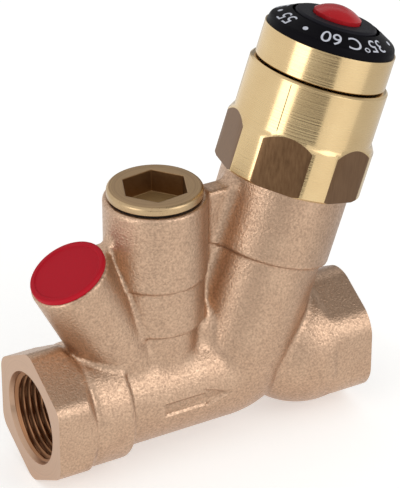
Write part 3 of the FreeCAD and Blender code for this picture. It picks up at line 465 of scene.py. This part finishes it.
# %% Branch and bosses
BRANCH_BOTTOM, BRANCH_TIP, CHEEK_END, CHEEK_ARC = -10.0, 6.0, 12.0, 26.0
NECK, NECK_FILLET, SHOULDER = 17.05, 0.8, 37.3
BRANCH, BRANCH_ROUND, BRANCH_TOP = 18.8, 0.9, 58.9
BOSS_RADII, BOSS_TOP, BOSS_ROUND = (11.9, 13.8, 14.7), 60.1, 0.8
BOSS_LEDGES, LEDGE_ROUND = (21.3, 36.0), 1.4
POCKET_PLACE, POCKET_TILT, POCKET_TOP = 35.0, -27.0, 47.9
POCKET_RADII, POCKET_BEVEL = (11.3, 11.85), 0.4

branch_radius, branch_height = leaning(BRANCH_PLACE, BRANCH_LEAN)
branch = outline_distance(branch_radius, branch_height, [
    (AXIS_SIDE, BRANCH_BOTTOM), *arc((BRANCH_TIP, BRANCH_BOTTOM), (NECK, CHEEK_END), CHEEK_ARC, 1),
    *arc((NECK, SHOULDER - NECK_FILLET), (NECK + NECK_FILLET, SHOULDER), NECK_FILLET, -1, 4),
    *arc((BRANCH - BRANCH_ROUND, SHOULDER), (BRANCH, SHOULDER + BRANCH_ROUND), BRANCH_ROUND, 1, 4),
    (BRANCH, BRANCH_TOP + STOCK), (AXIS_SIDE, BRANCH_TOP + STOCK),
])
foot, middle, top = BOSS_RADII
lower, upper = BOSS_LEDGES
plug_boss = outline_distance(np.hypot(X - BOSS_PLACE, Y), Z, [
    (AXIS_SIDE, 0.0), (foot, 0.0), *arc((foot, lower), (middle, lower + LEDGE_ROUND), LEDGE_ROUND, 1, 5),
    *arc((middle, upper), (top, upper + LEDGE_ROUND), LEDGE_ROUND, 1, 5),
    *arc((top, BOSS_TOP - BOSS_ROUND), (top - BOSS_ROUND, BOSS_TOP), BOSS_ROUND, 1, 4),
    (top - BOSS_ROUND, BOSS_TOP), (AXIS_SIDE, BOSS_TOP),
])
pocket_radius, pocket_height = leaning(POCKET_PLACE, POCKET_TILT)
foot, top = POCKET_RADII
pocket_boss = outline_distance(pocket_radius, pocket_height, [
    (AXIS_SIDE, 0.0), (foot, 0.0), (top, POCKET_TOP - POCKET_BEVEL), (top - POCKET_BEVEL, POCKET_TOP),
    (AXIS_SIDE, POCKET_TOP),
])
print("branch leans", BRANCH_LEAN, "degrees, pocket", POCKET_TILT, "degrees")

# %% [markdown]
# ## Webs
# Two webs stiffen the casting between the boss and its slanted neighbours. Each is a flat outline with a
# thickness and soft edges. The one at the branch is a little thicker above the branch's shoulder.

# %% Webs
WEB_HALF, WEB_STEP, WEB_EDGE = 2.5, 0.8, 1.3
POCKET_WEB = [(POCKET_PLACE, 0.0), (BOSS_PLACE, 0.0), (BOSS_PLACE, 51.0), (26.8, 51.0), (23.6, 47.9),
              (13.3, 42.7)]
BRANCH_WEB = [(BOSS_PLACE, 0.0), (BRANCH_PLACE, 0.0), (65.9, 58.3), (BOSS_PLACE, 58.3)]

half_width = np.where(branch_height > SHOULDER, WEB_HALF + WEB_STEP, WEB_HALF)
pocket_web = rounded_cut(outline_distance(X, Z, POCKET_WEB), WEB_HALF - np.abs(Y), WEB_EDGE)
branch_web = rounded_cut(outline_distance(X, Z, BRANCH_WEB), half_width - np.abs(Y), WEB_EDGE)
print("webs:", 2 * WEB_HALF, "and", 2 * (WEB_HALF + WEB_STEP), "mm thick")

# %% [markdown]
# ## Join the forms and take the skin
# The fillet radii were chosen from the photograph: between 1.5 and 2.6 mm where bosses, webs and
# branch meet, and less where the hexagon meets the collar. A ball fills the corner between the boss, the
# branch and the tube, where the real metal is thick. The field's zero level then becomes a mesh.

# %% Skin of the casting
FILLETS = {"hexagon": 0.9, "flats": 0.8, "groove": 0.7, "corner": 3.0, "branch_web": 2.6, "branch": 1.8,
           "plug_boss": 1.8, "pocket_web": 2.0, "pocket_boss": 1.5}
CORNER_PLACE, CORNER_HEIGHT, CORNER_RADIUS = 53.0, 16.0, 8.5
BAND = 3 * VOXEL

corner = np.sqrt((X - CORNER_PLACE) ** 2 + Y ** 2 + (Z - CORNER_HEIGHT) ** 2) - CORNER_RADIUS
with_branch = rounded_union(branch, branch_web, FILLETS["branch_web"])
with_pocket = rounded_union(pocket_boss, pocket_web, FILLETS["pocket_web"])
casting = rounded_union(run, inlet_end, FILLETS["hexagon"])
casting = rounded_cut(casting, around_flats, FILLETS["flats"])
casting = rounded_cut(casting, groove, FILLETS["groove"])
casting = rounded_union(casting, corner, FILLETS["corner"])
casting = rounded_union(casting, with_branch, FILLETS["branch"])
casting = rounded_union(casting, plug_boss, FILLETS["plug_boss"])
casting = rounded_union(casting, with_pocket, FILLETS["pocket_boss"])

volume = openvdb.FloatGrid(BAND)
volume.copyFromArray(np.clip(casting, -BAND, BAND).astype(np.float32))
points, quads = volume.convertToQuads(isovalue=0.0)
points = (points * VOXEL + FIELD_LOW) * MM


def new_object(name, points, faces, materials):
    """A mesh object in the frame, with its faces turned outward and with these materials."""
    mesh = bpy.data.meshes.new(name)
    mesh.from_pydata([tuple(p) for p in points], [], [tuple(f) for f in faces])
    for material in materials:
        mesh.materials.append(material)
    shell = bmesh.new()
    shell.from_mesh(mesh)
    bmesh.ops.recalc_face_normals(shell, faces=shell.faces)
    shell.to_mesh(mesh)
    shell.free()
    piece = bpy.data.objects.new(name, mesh)
    bpy.context.scene.collection.objects.link(piece)
    return piece


body_finishes = [cast_gunmetal, cut["machined_gunmetal"], cut["thread_gunmetal_painted_shade"]]
casting_piece = new_object("valve_casting", points, quads, body_finishes)
print("casting:", len(points), "points,", len(quads), "faces")

# %% [markdown]
# ## Cutters
# A lathe faces the two ends and the branch, and bores the sockets and seats. Each cutter is a turned
# solid, and a Boolean takes it out of the casting, which gives the crisp edges that a cut has. The cutter
# brings its finish with it: its faces become the skin of the cut.

# %% Cutters
CAST, MACHINED, THREADED = range(len(body_finishes))
TURN_STEPS = 72


def lathe(stations, axis_to):
    """Points and faces of a closed turned solid from (place, radius or list of radii) stations."""
    angles = np.arange(TURN_STEPS) * 2 * math.pi / TURN_STEPS
    points, faces = [], []
    for place, radius in stations:
        radii = np.broadcast_to(radius, TURN_STEPS)
        points += [(q * math.cos(a), q * math.sin(a), place) for q, a in zip(radii, angles)]
    for ring in range(len(stations) - 1):
        for j in range(TURN_STEPS):
            k = (j + 1) % TURN_STEPS
            low, high = ring * TURN_STEPS, (ring + 1) * TURN_STEPS
            faces.append((low + j, low + k, high + k, high + j))
    faces.append(tuple(reversed(range(TURN_STEPS))))
    faces.append(tuple(range(len(points) - TURN_STEPS, len(points))))
    return [axis_to @ (Vector(p) * MM) for p in points], faces


def take_out(piece, cutter_shape, finish_index):
    """Cut a solid out of a piece, leaving faces with one of the body's finishes."""
    cutter = new_object("cutter", *cutter_shape, body_finishes)
    for face in cutter.data.polygons:
        face.material_index = finish_index
    difference = piece.modifiers.new("difference", "BOOLEAN")
    difference.operation, difference.solver, difference.object = "DIFFERENCE", "MANIFOLD", cutter
    graph = bpy.context.evaluated_depsgraph_get()
    result = bpy.data.meshes.new_from_object(piece.evaluated_get(graph))
    piece.modifiers.clear()
    piece.data = result
    bpy.data.objects.remove(cutter)


def about(x, tilt=0.0):
    """Matrix from a turned solid's own axis to an axis that leans from a place on the pipe."""
    return Matrix.Translation((x * MM, 0, 0)) @ Matrix.Rotation(math.radians(tilt), 4, "Y")


inlet_to = about(0.0, 90.0)
outlet_to = about(RUN, -90.0)
branch_to = about(BRANCH_PLACE, BRANCH_LEAN)
boss_to = about(BOSS_PLACE)
pocket_to = about(POCKET_PLACE, POCKET_TILT)
print("a cutter has", TURN_STEPS, "sides")

# %% [markdown]
# ## Pipe threads
# Both ends have a female pipe thread of 14 turns to the inch. A screw of that shape is taken out of the
# metal: the radius of its rings follows a helix, with flat crests, and the thread fades in behind the
# mouth and out before the drilled bottom. So the thread is real metal, not a drawn line.

# %% Pipe threads
PITCH, THREAD_ROOT, THREAD_HEIGHT, SOCKET = 1.814, 13.22, 1.16, 16.3
MOUTH, MOUTH_DEPTH, FIRST_RING = 13.7, 1.4, 0.4
RINGS_PER_TURN, FLANK, CREST = 9, 1.5, 0.3
FADE_IN, FADE_OUT = 0.8, 2.0
DRILL_DEPTH, DRILL_TIP = 5.0, 3.0
OVER = 0.01


def thread_stations():
    """Rings of a socket with a pipe thread, from outside the mouth to its drilled bottom."""
    angles = np.arange(TURN_STEPS) / TURN_STEPS
    rings = [(-OVER, MOUTH)]
    for depth in np.arange(FIRST_RING, SOCKET, PITCH / RINGS_PER_TURN):
        phase = (depth / PITCH - angles) % 1
        ridge = np.clip(np.abs(2 * phase - 1) * FLANK - CREST, 0, 1)
        fade = min(1, (depth - MOUTH_DEPTH) / FADE_IN, (SOCKET - depth) / FADE_OUT)
        rings.append((depth, THREAD_ROOT - THREAD_HEIGHT * ridge * max(fade, 0)))
    return rings + [(SOCKET, THREAD_ROOT), (SOCKET + DRILL_DEPTH, DRILL_TIP)]


for axis_to in (inlet_to, outlet_to):
    take_out(casting_piece, lathe(thread_stations(), axis_to), THREADED)
print("turns of thread in each end:", round(SOCKET / PITCH, 1))

# %% [markdown]
# ## Faces and bores
# The rest is plain turning: flat faces on the ends and on the branch, a bevelled mouth before each thread,
# and the stepped bores. A table of depths and radii for each cut is short and easy to compare with the
# CAD body. A step needs two rings at nearly the same depth. The mouth is skimmed by a few hundredths, so
# that it gets the machined finish and not the thread's.

# %% Faces and bores
FACE = [(-9.0, 30.0), (0.0, 30.0)]
SKIM, STEP, INSIDE = 0.02, 0.001, 11.0
MOUTH_BEVEL = [(-OVER, MOUTH + SKIM), (MOUTH_DEPTH, THREAD_ROOT + 2 * SKIM), (MOUTH_DEPTH + STEP, INSIDE)]
CUTS = {
    "inlet face": (inlet_to, FACE),
    "outlet face": (outlet_to, FACE),
    "inlet mouth": (inlet_to, MOUTH_BEVEL),
    "outlet mouth": (outlet_to, MOUTH_BEVEL),
    "waterway": (inlet_to, [(15.0, 9.0), (69.0, 9.0), (72.0, 3.0)]),
    "outlet way": (about(89.0, -31.0), [(0.0, 6.5), (21.0, 6.5)]),
    "branch face": (branch_to, [(BRANCH_TOP, 30.0), (BRANCH_TOP + 8.0, 30.0)]),
    "chamber": (branch_to, [(0.0, 7.0), (12.0, 7.0), (12.001, 13.5), (44.9, 13.5), (44.901, 16.1),
                            (56.9, 16.1), (56.901, 17.3), (60.0, 17.3)]),
    "plug bore": (boss_to, [(0.0, 8.0), (46.5, 8.0), (46.501, 12.1), (62.0, 12.1)]),
    "pocket": (pocket_to, [(18.9, 4.0), (35.9, 4.0), (35.901, 7.0), (50.0, 7.0)]),
}
for axis_to, stations in CUTS.values():
    take_out(casting_piece, lathe(stations, axis_to), MACHINED)
print("cuts:", ", ".join(CUTS))

# %% [markdown]
# ## Flow arrow
# An arrow in the tube's front shows which way the water flows. It is a shallow hollow with sloping sides
# in the pattern, so that the sand lets go of it, and the casting copies it. Here an arrow-shaped block
# with such a slope loses a cylinder a little smaller than the tube, and what is left of the block is taken
# out of the casting.

# %% Flow arrow
ARROW = np.array([(35.0, -2.3), (47.9, -2.3), (47.9, -3.65), (55.9, -0.3), (47.9, 3.05), (47.9, 1.7),
                  (35.0, 1.7)])
ARROW_DEPTH, ARROW_SLOPE, ARROW_LEVEL = 0.6, 1.3, 0.3
BLOCK_OUT, BLOCK_IN = 0.8, 1.1
CORE = [(30.0, TUBE - ARROW_DEPTH), (60.0, TUBE - ARROW_DEPTH)]

sides = np.roll(ARROW, -1, axis=0) - ARROW
outward = np.stack([sides[:, 1], -sides[:, 0]], axis=1) / np.linalg.norm(sides, axis=1)[:, None]
before = np.roll(outward, 1, axis=0)
spread = (before + outward) / (1 + (before * outward).sum(axis=1))[:, None]
count = len(ARROW)
block = []
for y in (-TUBE - BLOCK_OUT, -TUBE + BLOCK_IN):
    grown = ARROW - spread * (y + TUBE - ARROW_LEVEL) * ARROW_SLOPE
    block += [Vector((x, y, z)) * MM for x, z in grown]
walls = [(i, (i + 1) % count, (i + 1) % count + count, i + count) for i in range(count)]
faces = [tuple(range(count)), tuple(reversed(range(count, 2 * count))), *walls]
arrow = new_object("arrow", block, faces, body_finishes)
take_out(arrow, lathe(CORE, inlet_to), CAST)
plate = arrow.data
take_out(casting_piece, ([v.co for v in plate.vertices], [f.vertices for f in plate.polygons]), CAST)
bpy.data.objects.remove(arrow)
print("arrow:", len(plate.polygons), "faces")

# %% [markdown]
# ## Soft skin, crisp cuts
# The cast skin is shaded smooth, while an edge where two faces meet steeply stays sharp, because a machined
# face ends in a crisp edge. One angle tells the two apart. The finished casting then rides on the body and
# is shown in place of the CAD's valve body.

# %% Edges of the casting
CREASE = math.radians(40)

casting_piece.data.shade_smooth()
casting_piece.data.set_sharp_from_angle(angle=CREASE)
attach(casting_piece, "body")
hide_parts("valve_body")
casting_piece.data.calc_loop_triangles()
print("machined casting:", len(casting_piece.data.loop_triangles), "triangles")

# %% [markdown]
# ## Parts kept from the CAD
# The bonnet, the ring above it, the plug, the dial and the parts inside have the right shape in the CAD
# already, so they stay and get their finishes from a table.

# %% Finishes of the CAD parts
NODE_FINISH = {
    "bonnet": turned_brass, "handwheel_skirt": turned_brass, "service_plug": cut["faced_brass"],
    "pocket_cap": finish["red_polyethylene"], "dial_ring": finish["black_nylon"],
    "dial_hub": finish["grey_nylon"], "hub_cap": finish["red_abs"],
    "plug_gasket": finish["nitrile_rubber"], "bonnet_o_ring": finish["nitrile_rubber"],
    "spindle_o_rings": finish["nitrile_rubber"], "seat_washer": finish["nitrile_rubber"],
    "overtravel_spring": finish["drawn_spring_steel"],
    "cup_clip": finish["drawn_spring_steel"], "spindle": finish["bright_brass"],
    "setting_sleeve": finish["bright_brass"], "wax_element": finish["bright_brass"],
    "valve_plunger": finish["bright_brass"], "thrust_washer": finish["white_ptfe"],
    "thrust_cup": finish["ground_stainless_steel"], "piston_pin": finish["ground_stainless_steel"],
    "washer_screw": finish["ground_stainless_steel"], "knob_screw": finish["ground_stainless_steel"],
}
for name, material in NODE_FINISH.items():
    nodes[name].data.materials.clear()
    nodes[name].data.materials.append(material)
print("finished", len(NODE_FINISH), "CAD parts")

# %% [markdown]
# ## Flats of the bonnet and faces of the plug
# Two of these parts have more than one finish. The bonnet's milled flats, whose dark brass is painted
# reflection, all lie at one depth from its axis, so a face belongs to a flat if its plane lies at that
# depth.
# On the plug the broached walls, painted dark as shade, and the drilled floor, painted lighter as light,
# lie inside the socket, the faced top looks up, and the rest is the worn rim.

# %% Flats and plug
FLAT_DEPTH, NUT_TOP = 20.35 * MM, 75.0 * MM
PLUG_TOP, SOCKET_REACH = 63.2 * MM, 10.0 * MM
NEAR = 0.1 * MM
WALL, LEVEL_FACE = 0.5, 0.9
MILLED = 1
SHADED_WALL, LIT_FLOOR, WORN = 1, 2, 3

bonnet = nodes["bonnet"].data
bonnet.materials.append(milled_brass_painted_reflection)
flats = 0
for face in bonnet.polygons:
    place = face.center - BRANCH_FOOT
    away = place.dot(face.normal)
    if abs(away - FLAT_DEPTH) < NEAR and place.dot(BRANCH_AXIS) < NUT_TOP:
        face.material_index = MILLED
        flats += 1
plug = nodes["service_plug"].data
for name in ("socket_wall_brass_painted_shade", "socket_floor_brass_painted_light", "worn_brass"):
    plug.materials.append(finish[name])
for face in plug.polygons:
    away = math.hypot(face.center.x - BOSS_PLACE * MM, face.center.y)
    if away < SOCKET_REACH and face.center.z < PLUG_TOP - NEAR:
        # Walls get the brass painted dark as shade, the floor the brass painted lighter as light.
        face.material_index = SHADED_WALL if abs(face.normal.z) < WALL else LIT_FLOOR
    elif face.normal.z < LEVEL_FACE:
        face.material_index = WORN
print("milled faces:", flats)

# %% [markdown]
# ## Broken edges
# No turned edge is left razor sharp: a file takes off a little, and the thin line that it leaves catches
# the light. A bevel modifier does the same. The CAD mesh has doubled points along its edges, so they are
# welded first, and weighted normals keep the walls beside the bevel evenly shaded. The plug's bevel isn't
# clamped, because the short edges round its rim would make it vanish.

# %% Broken edges
EDGES = {"bonnet": 0.08, "handwheel_skirt": 0.08, "service_plug": 0.3, "dial_hub": 0.2}
WELD_REACH, BEVEL_FROM, BEVEL_STEPS = 0.002 * MM, math.radians(35), 2
EVEN_WEIGHT = 100

for name, width in EDGES.items():
    weld = nodes[name].modifiers.new("weld", "WELD")
    weld.merge_threshold = WELD_REACH
    soften = nodes[name].modifiers.new("soften", "BEVEL")
    soften.width, soften.segments = width * MM, BEVEL_STEPS
    soften.limit_method, soften.angle_limit = "ANGLE", BEVEL_FROM
    soften.use_clamp_overlap = name != "service_plug"
    even = nodes[name].modifiers.new("even", "WEIGHTED_NORMAL")
    even.weight = EVEN_WEIGHT
print("broken edges on", ", ".join(EDGES))

# %% [markdown]
# ## Return spring
# The return spring pushes the wax element away from the seat. Its foot stands in the body and its top
# follows the element, which moves in two steps: the sleeve carries it as the dial is set, and its own
# stroke comes on top. So the coil is made in two halves that meet at mid height. The table names the body
# and the sleeve as the ends of the lower half, and the sleeve and the plunger as those of the upper half;
# here each half is made and fixed in place, and the CAD spring is hidden.

# %% Return spring
COIL_RADIUS, WIRE, COIL_TURNS = 11.3, 1.2, 5.0
COIL_FOOT, COIL_TOP = 12.7, 35.6
WIRE_SIDES, COIL_STEPS = 12, 100


def wire_between(first_turn, last_turn):
    """Points and faces of the coil's wire between two turns, closed at both ends."""
    points, faces = [], []
    for turn in np.linspace(first_turn, last_turn, COIL_STEPS + 1):
        around = 2 * math.pi * turn
        height = COIL_FOOT + (COIL_TOP - COIL_FOOT) * turn / COIL_TURNS
        for side in np.arange(WIRE_SIDES) * 2 * math.pi / WIRE_SIDES:
            r, h = COIL_RADIUS + WIRE / 2 * math.cos(side), height + WIRE / 2 * math.sin(side)
            points.append(branch_to @ (Vector((r * math.cos(around), r * math.sin(around), h)) * MM))
    for ring in range(0, COIL_STEPS * WIRE_SIDES, WIRE_SIDES):
        for j in range(WIRE_SIDES):
            k = (j + 1) % WIRE_SIDES
            faces.append((ring + j, ring + k, ring + WIRE_SIDES + k, ring + WIRE_SIDES + j))
    faces.append(tuple(range(WIRE_SIDES)))
    faces.append(tuple(range(len(points) - WIRE_SIDES, len(points))))
    return points, faces


half_turns = COIL_TURNS / 2
coil_middle = (COIL_FOOT + COIL_TOP) / 2
# First and last turn, the body below and the body above, and where the stretch starts and ends.
HALVES = {
    "return_spring_lower": (0, half_turns, "body", "sleeve", COIL_FOOT - WIRE / 2, coil_middle - WIRE),
    "return_spring_upper": (half_turns, COIL_TURNS, "sleeve", "plunger", coil_middle + WIRE,
                            COIL_TOP - WIRE / 2),
}
for name, (first, last, below, above, start, end) in HALVES.items():
    half = new_object(name, *wire_between(first, last), [finish["drawn_spring_steel"]])
    half.data.shade_smooth()
    half.data.set_sharp_from_angle(angle=CREASE)
    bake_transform(half)
    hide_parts("return_spring")
print("spring halves:", len(HALVES))

# %% [markdown]
# ## Dial marks
# The temperature scale is printed on the dial's slope, with the tops of the numbers to the rim. Each mark
# is a text turned into a thin mesh and laid on the cone, point by point, as a pad printer lays a flat
# print on a cup. Laid on in this way, the print follows the slope and turns with the dial.

# %% Dial marks
CONE_RADIUS, CONE_HEIGHT = (18.2, 12.8), (103.1, 106.1)
PRINT_THICKNESS, PRINT_LIFT = 0.04, 0.02
MARK_RADIUS, TEXT_SIZE = 15.6, 6.2
DIAL_MARKS = {"35": 286.0, "°C": 262.5, "60": 233.0, "55": 175.2, "50": 125.1, "45": 57.9, "40": 350.7}
DIAL_DOTS = (204.2, 150.7, 91.5, 24.3, 317.1)
DOT = "•"

slope = math.hypot(CONE_RADIUS[0] - CONE_RADIUS[1], CONE_HEIGHT[1] - CONE_HEIGHT[0])
out_share = (CONE_RADIUS[0] - CONE_RADIUS[1]) / slope
down_share = (CONE_HEIGHT[1] - CONE_HEIGHT[0]) / slope


def on_cone(across, outward, lift, angle):
    """Place of a print's point on the dial's cone, in the frame."""
    r = MARK_RADIUS + outward * out_share + lift * down_share
    drop = (MARK_RADIUS - CONE_RADIUS[1]) / out_share + outward
    h = CONE_HEIGHT[1] - drop * down_share + lift * out_share
    turn = math.radians(angle) - across / MARK_RADIUS
    return branch_to @ (Vector((r * math.cos(turn), r * math.sin(turn), h)) * MM)


def print_mark(text, angle):
    """A printed mark on the dial, centred at an angle."""
    curve = bpy.data.curves.new("mark", "FONT")
    curve.body, curve.size = text, TEXT_SIZE
    curve.align_x, curve.align_y = "CENTER", "CENTER"
    curve.extrude = PRINT_THICKNESS / 2
    holder = bpy.data.objects.new("mark", curve)
    bpy.context.scene.collection.objects.link(holder)
    graph = bpy.context.evaluated_depsgraph_get()
    mesh = bpy.data.meshes.new_from_object(holder.evaluated_get(graph))
    bpy.data.objects.remove(holder)
    for vertex in mesh.vertices:
        x, y, z = vertex.co
        vertex.co = on_cone(x, y, z + PRINT_THICKNESS / 2 + PRINT_LIFT, angle)
    mesh.materials.clear()
    mesh.materials.append(finish["pad_print_ink"])
    piece = bpy.data.objects.new("dial_mark", mesh)
    bpy.context.scene.collection.objects.link(piece)
    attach(piece, "handwheel")
    return piece


marks = [print_mark(text, angle) for text, angle in DIAL_MARKS.items()]
marks += [print_mark(DOT, angle) for angle in DIAL_DOTS]
print("dial marks:", len(marks))

# %% [markdown]
# ## Index line
# A line is scribed down the bonnet's barrel, and the dial is turned until the wanted temperature stands
# above it. It is made as a thin dull strip let into the barrel, a hundredth of a millimetre proud, because
# the barrel itself is the CAD's and isn't cut here. The strip's darker brass is painted shade that stands
# for the shade in the scribed groove.

# %% Index line
LINE_ANGLE, LINE_WIDTH, LINE_DEPTH, LINE_PROUD = -146.3, 0.24, 0.06, 0.012
BARREL_RADIUS, LINE_SPAN = 20.3, (75.6, 89.4)
LINE_FACES = [(0, 1, 3, 2), (4, 6, 7, 5), (0, 4, 5, 1), (2, 3, 7, 6), (1, 5, 7, 3), (0, 2, 6, 4)]

line_points = []
for h in LINE_SPAN:
    for side in (-0.5, 0.5):
        for depth in (-LINE_DEPTH, LINE_PROUD):
            turn = math.radians(LINE_ANGLE) + side * LINE_WIDTH / BARREL_RADIUS
            r = BARREL_RADIUS + depth
            line_points.append(branch_to @ (Vector((r * math.cos(turn), r * math.sin(turn), h)) * MM))
index_line = new_object("index_line", line_points, LINE_FACES, [finish["index_line_brass_painted_shade"]])
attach(index_line, "body")
print("index line:", round(LINE_SPAN[1] - LINE_SPAN[0], 1), "mm long")

# %% [markdown]
# ## Floor
# The valve stands on a plain pale floor. The floor glows a little of itself, so that it comes out nearly
# as white as the room and still keeps the soft shadow under the valve.

# %% Floor
LEVEL = cad_low.z
FLOOR_HALF = 3
WHITE = linear("#FFFFFF")


def stage_card(name, corners, material):
    """A flat thing of the studio, which is no part of the object."""
    card = new_object(name, corners, [(0, 1, 2, 3)], [material])
    return card


pale = start_material("pale_floor", Roughness=0.9, Base_Color=linear("#F0F0EE"), Emission_Color=WHITE,
                      Emission_Strength=0.4)[0]
FLOOR_CORNERS = [(-1, -1), (1, -1), (1, 1), (-1, 1)]
stage_card("floor", [(x * FLOOR_HALF, y * FLOOR_HALF, LEVEL) for x, y in FLOOR_CORNERS], pale)
print("floor at", round(LEVEL / MM, 1), "mm")

# %% [markdown]
# ## Cards
# Bright metal is a mirror, so in an all-white room it would have no shape. As in a photo studio, cards
# round the valve give it something darker to reflect: grey ones above and behind, a black one low in front
# on the left, and two pale ones on the right. They show in reflections alone: they throw no shadow, and
# the camera doesn't see them.

# %% Cards
ON_FLOOR = LEVEL + 0.001
CARDS = {
    "top_card": (0.33, [(0.08, -0.25, 0.45), (1.2, -0.25, 0.45), (1.2, 0.27, 0.45), (0.08, 0.27, 0.45)]),
    "front_card": (0.02, [(-0.595, -0.305, LEVEL), (0.009, -0.351, LEVEL), (-0.135, -0.974, 0.07),
                          (-1.098, -0.529, 0.15)]),
    "side_card": (0.72, [(0.13, -0.10, ON_FLOOR), (0.35, -0.26, ON_FLOOR), (0.35, 0.35, ON_FLOOR),
                         (0.13, 0.35, ON_FLOOR)]),
    "right_card": (0.65, [(0.35, -0.26, LEVEL), (0.65, -0.26, 0.35), (0.65, 0.35, 0.35),
                          (0.35, 0.35, LEVEL)]),
    "back_card": (0.3, [(0.65, 0.35, LEVEL), (0.22, 0.72, LEVEL), (0.22, 0.72, 0.40), (0.65, 0.35, 0.40)]),
}
for name, (level, corners) in CARDS.items():
    grey = start_material(name, Roughness=0.9, Base_Color=linear("#0A0A0A"), Emission_Color=WHITE,
                          Emission_Strength=level)[0]
    card = stage_card(name, corners, grey)
    card.visible_camera = False
    card.visible_diffuse = False
    card.visible_shadow = False
print("cards:", ", ".join(CARDS))

# %% [markdown]
# ## Room
# The room is white to the camera and in reflections, and sends a little less light than that onto the
# valve. The light path tells the kinds of ray apart, so the background can be white without more light on
# the object.

# %% Room
ROOM_LIGHT, ROOM_SEEN = 0.65, 1.0

world = bpy.data.worlds.new("room")
bpy.context.scene.world = world
world.use_nodes = True
tree = world.node_tree
tree.nodes.clear()
ray = add(tree, "ShaderNodeLightPath")
seen = add(tree, "ShaderNodeMath", {0: ray.outputs["Is Camera Ray"], 1: ray.outputs["Is Glossy Ray"]},
           operation="MAXIMUM")
seen = add(tree, "ShaderNodeMath", {0: seen.outputs[0], 1: ray.outputs["Is Transmission Ray"]},
           operation="MAXIMUM")
strength = add(tree, "ShaderNodeMapRange", {"Value": seen.outputs[0]}, To_Min=ROOM_LIGHT, To_Max=ROOM_SEEN)
sky = add(tree, "ShaderNodeBackground", {"Strength": strength.outputs[0]}, Color=WHITE)
add(tree, "ShaderNodeOutputWorld", {"Surface": sky.outputs[0]})
print("room light:", ROOM_LIGHT)

# %% [markdown]
# ## Lamps
# Two large soft lamps shape the valve: the stronger one in front on the right and above, a weaker one low
# on the left. Large lamps give soft edges to highlights and shadows, as the soft boxes of a studio do.

# %% Lamps
LAMP_TARGET = Vector((0.055, 0, 0.04))
# Place in metres, width, height, power in watts.
LAMPS = {
    "key_lamp": ((0.364, -0.577, 0.40), 0.35, 0.55, 1.1),
    "left_lamp": ((-0.52, -0.14, 0.12), 0.30, 0.4, 0.8),
}
for name, (place, width, height, power) in LAMPS.items():
    light = bpy.data.lights.new(name, "AREA")
    light.shape = "RECTANGLE"
    light.size, light.size_y = width, height
    light.energy = power
    lamp = bpy.data.objects.new(name, light)
    bpy.context.scene.collection.objects.link(lamp)
    lamp.location = place
    lamp.rotation_mode = "QUATERNION"
    lamp.rotation_quaternion = (LAMP_TARGET - Vector(place)).to_track_quat("-Z", "Y")
print("lamps:", ", ".join(LAMPS))

# %% [markdown]
# ## Size
# The dressed valve has to stay as large as the CAD model. The CAD model's box is printed here.

# %% Size of the CAD model
print("cad box", [round(v / MM, 1) for v in cad_high - cad_low])
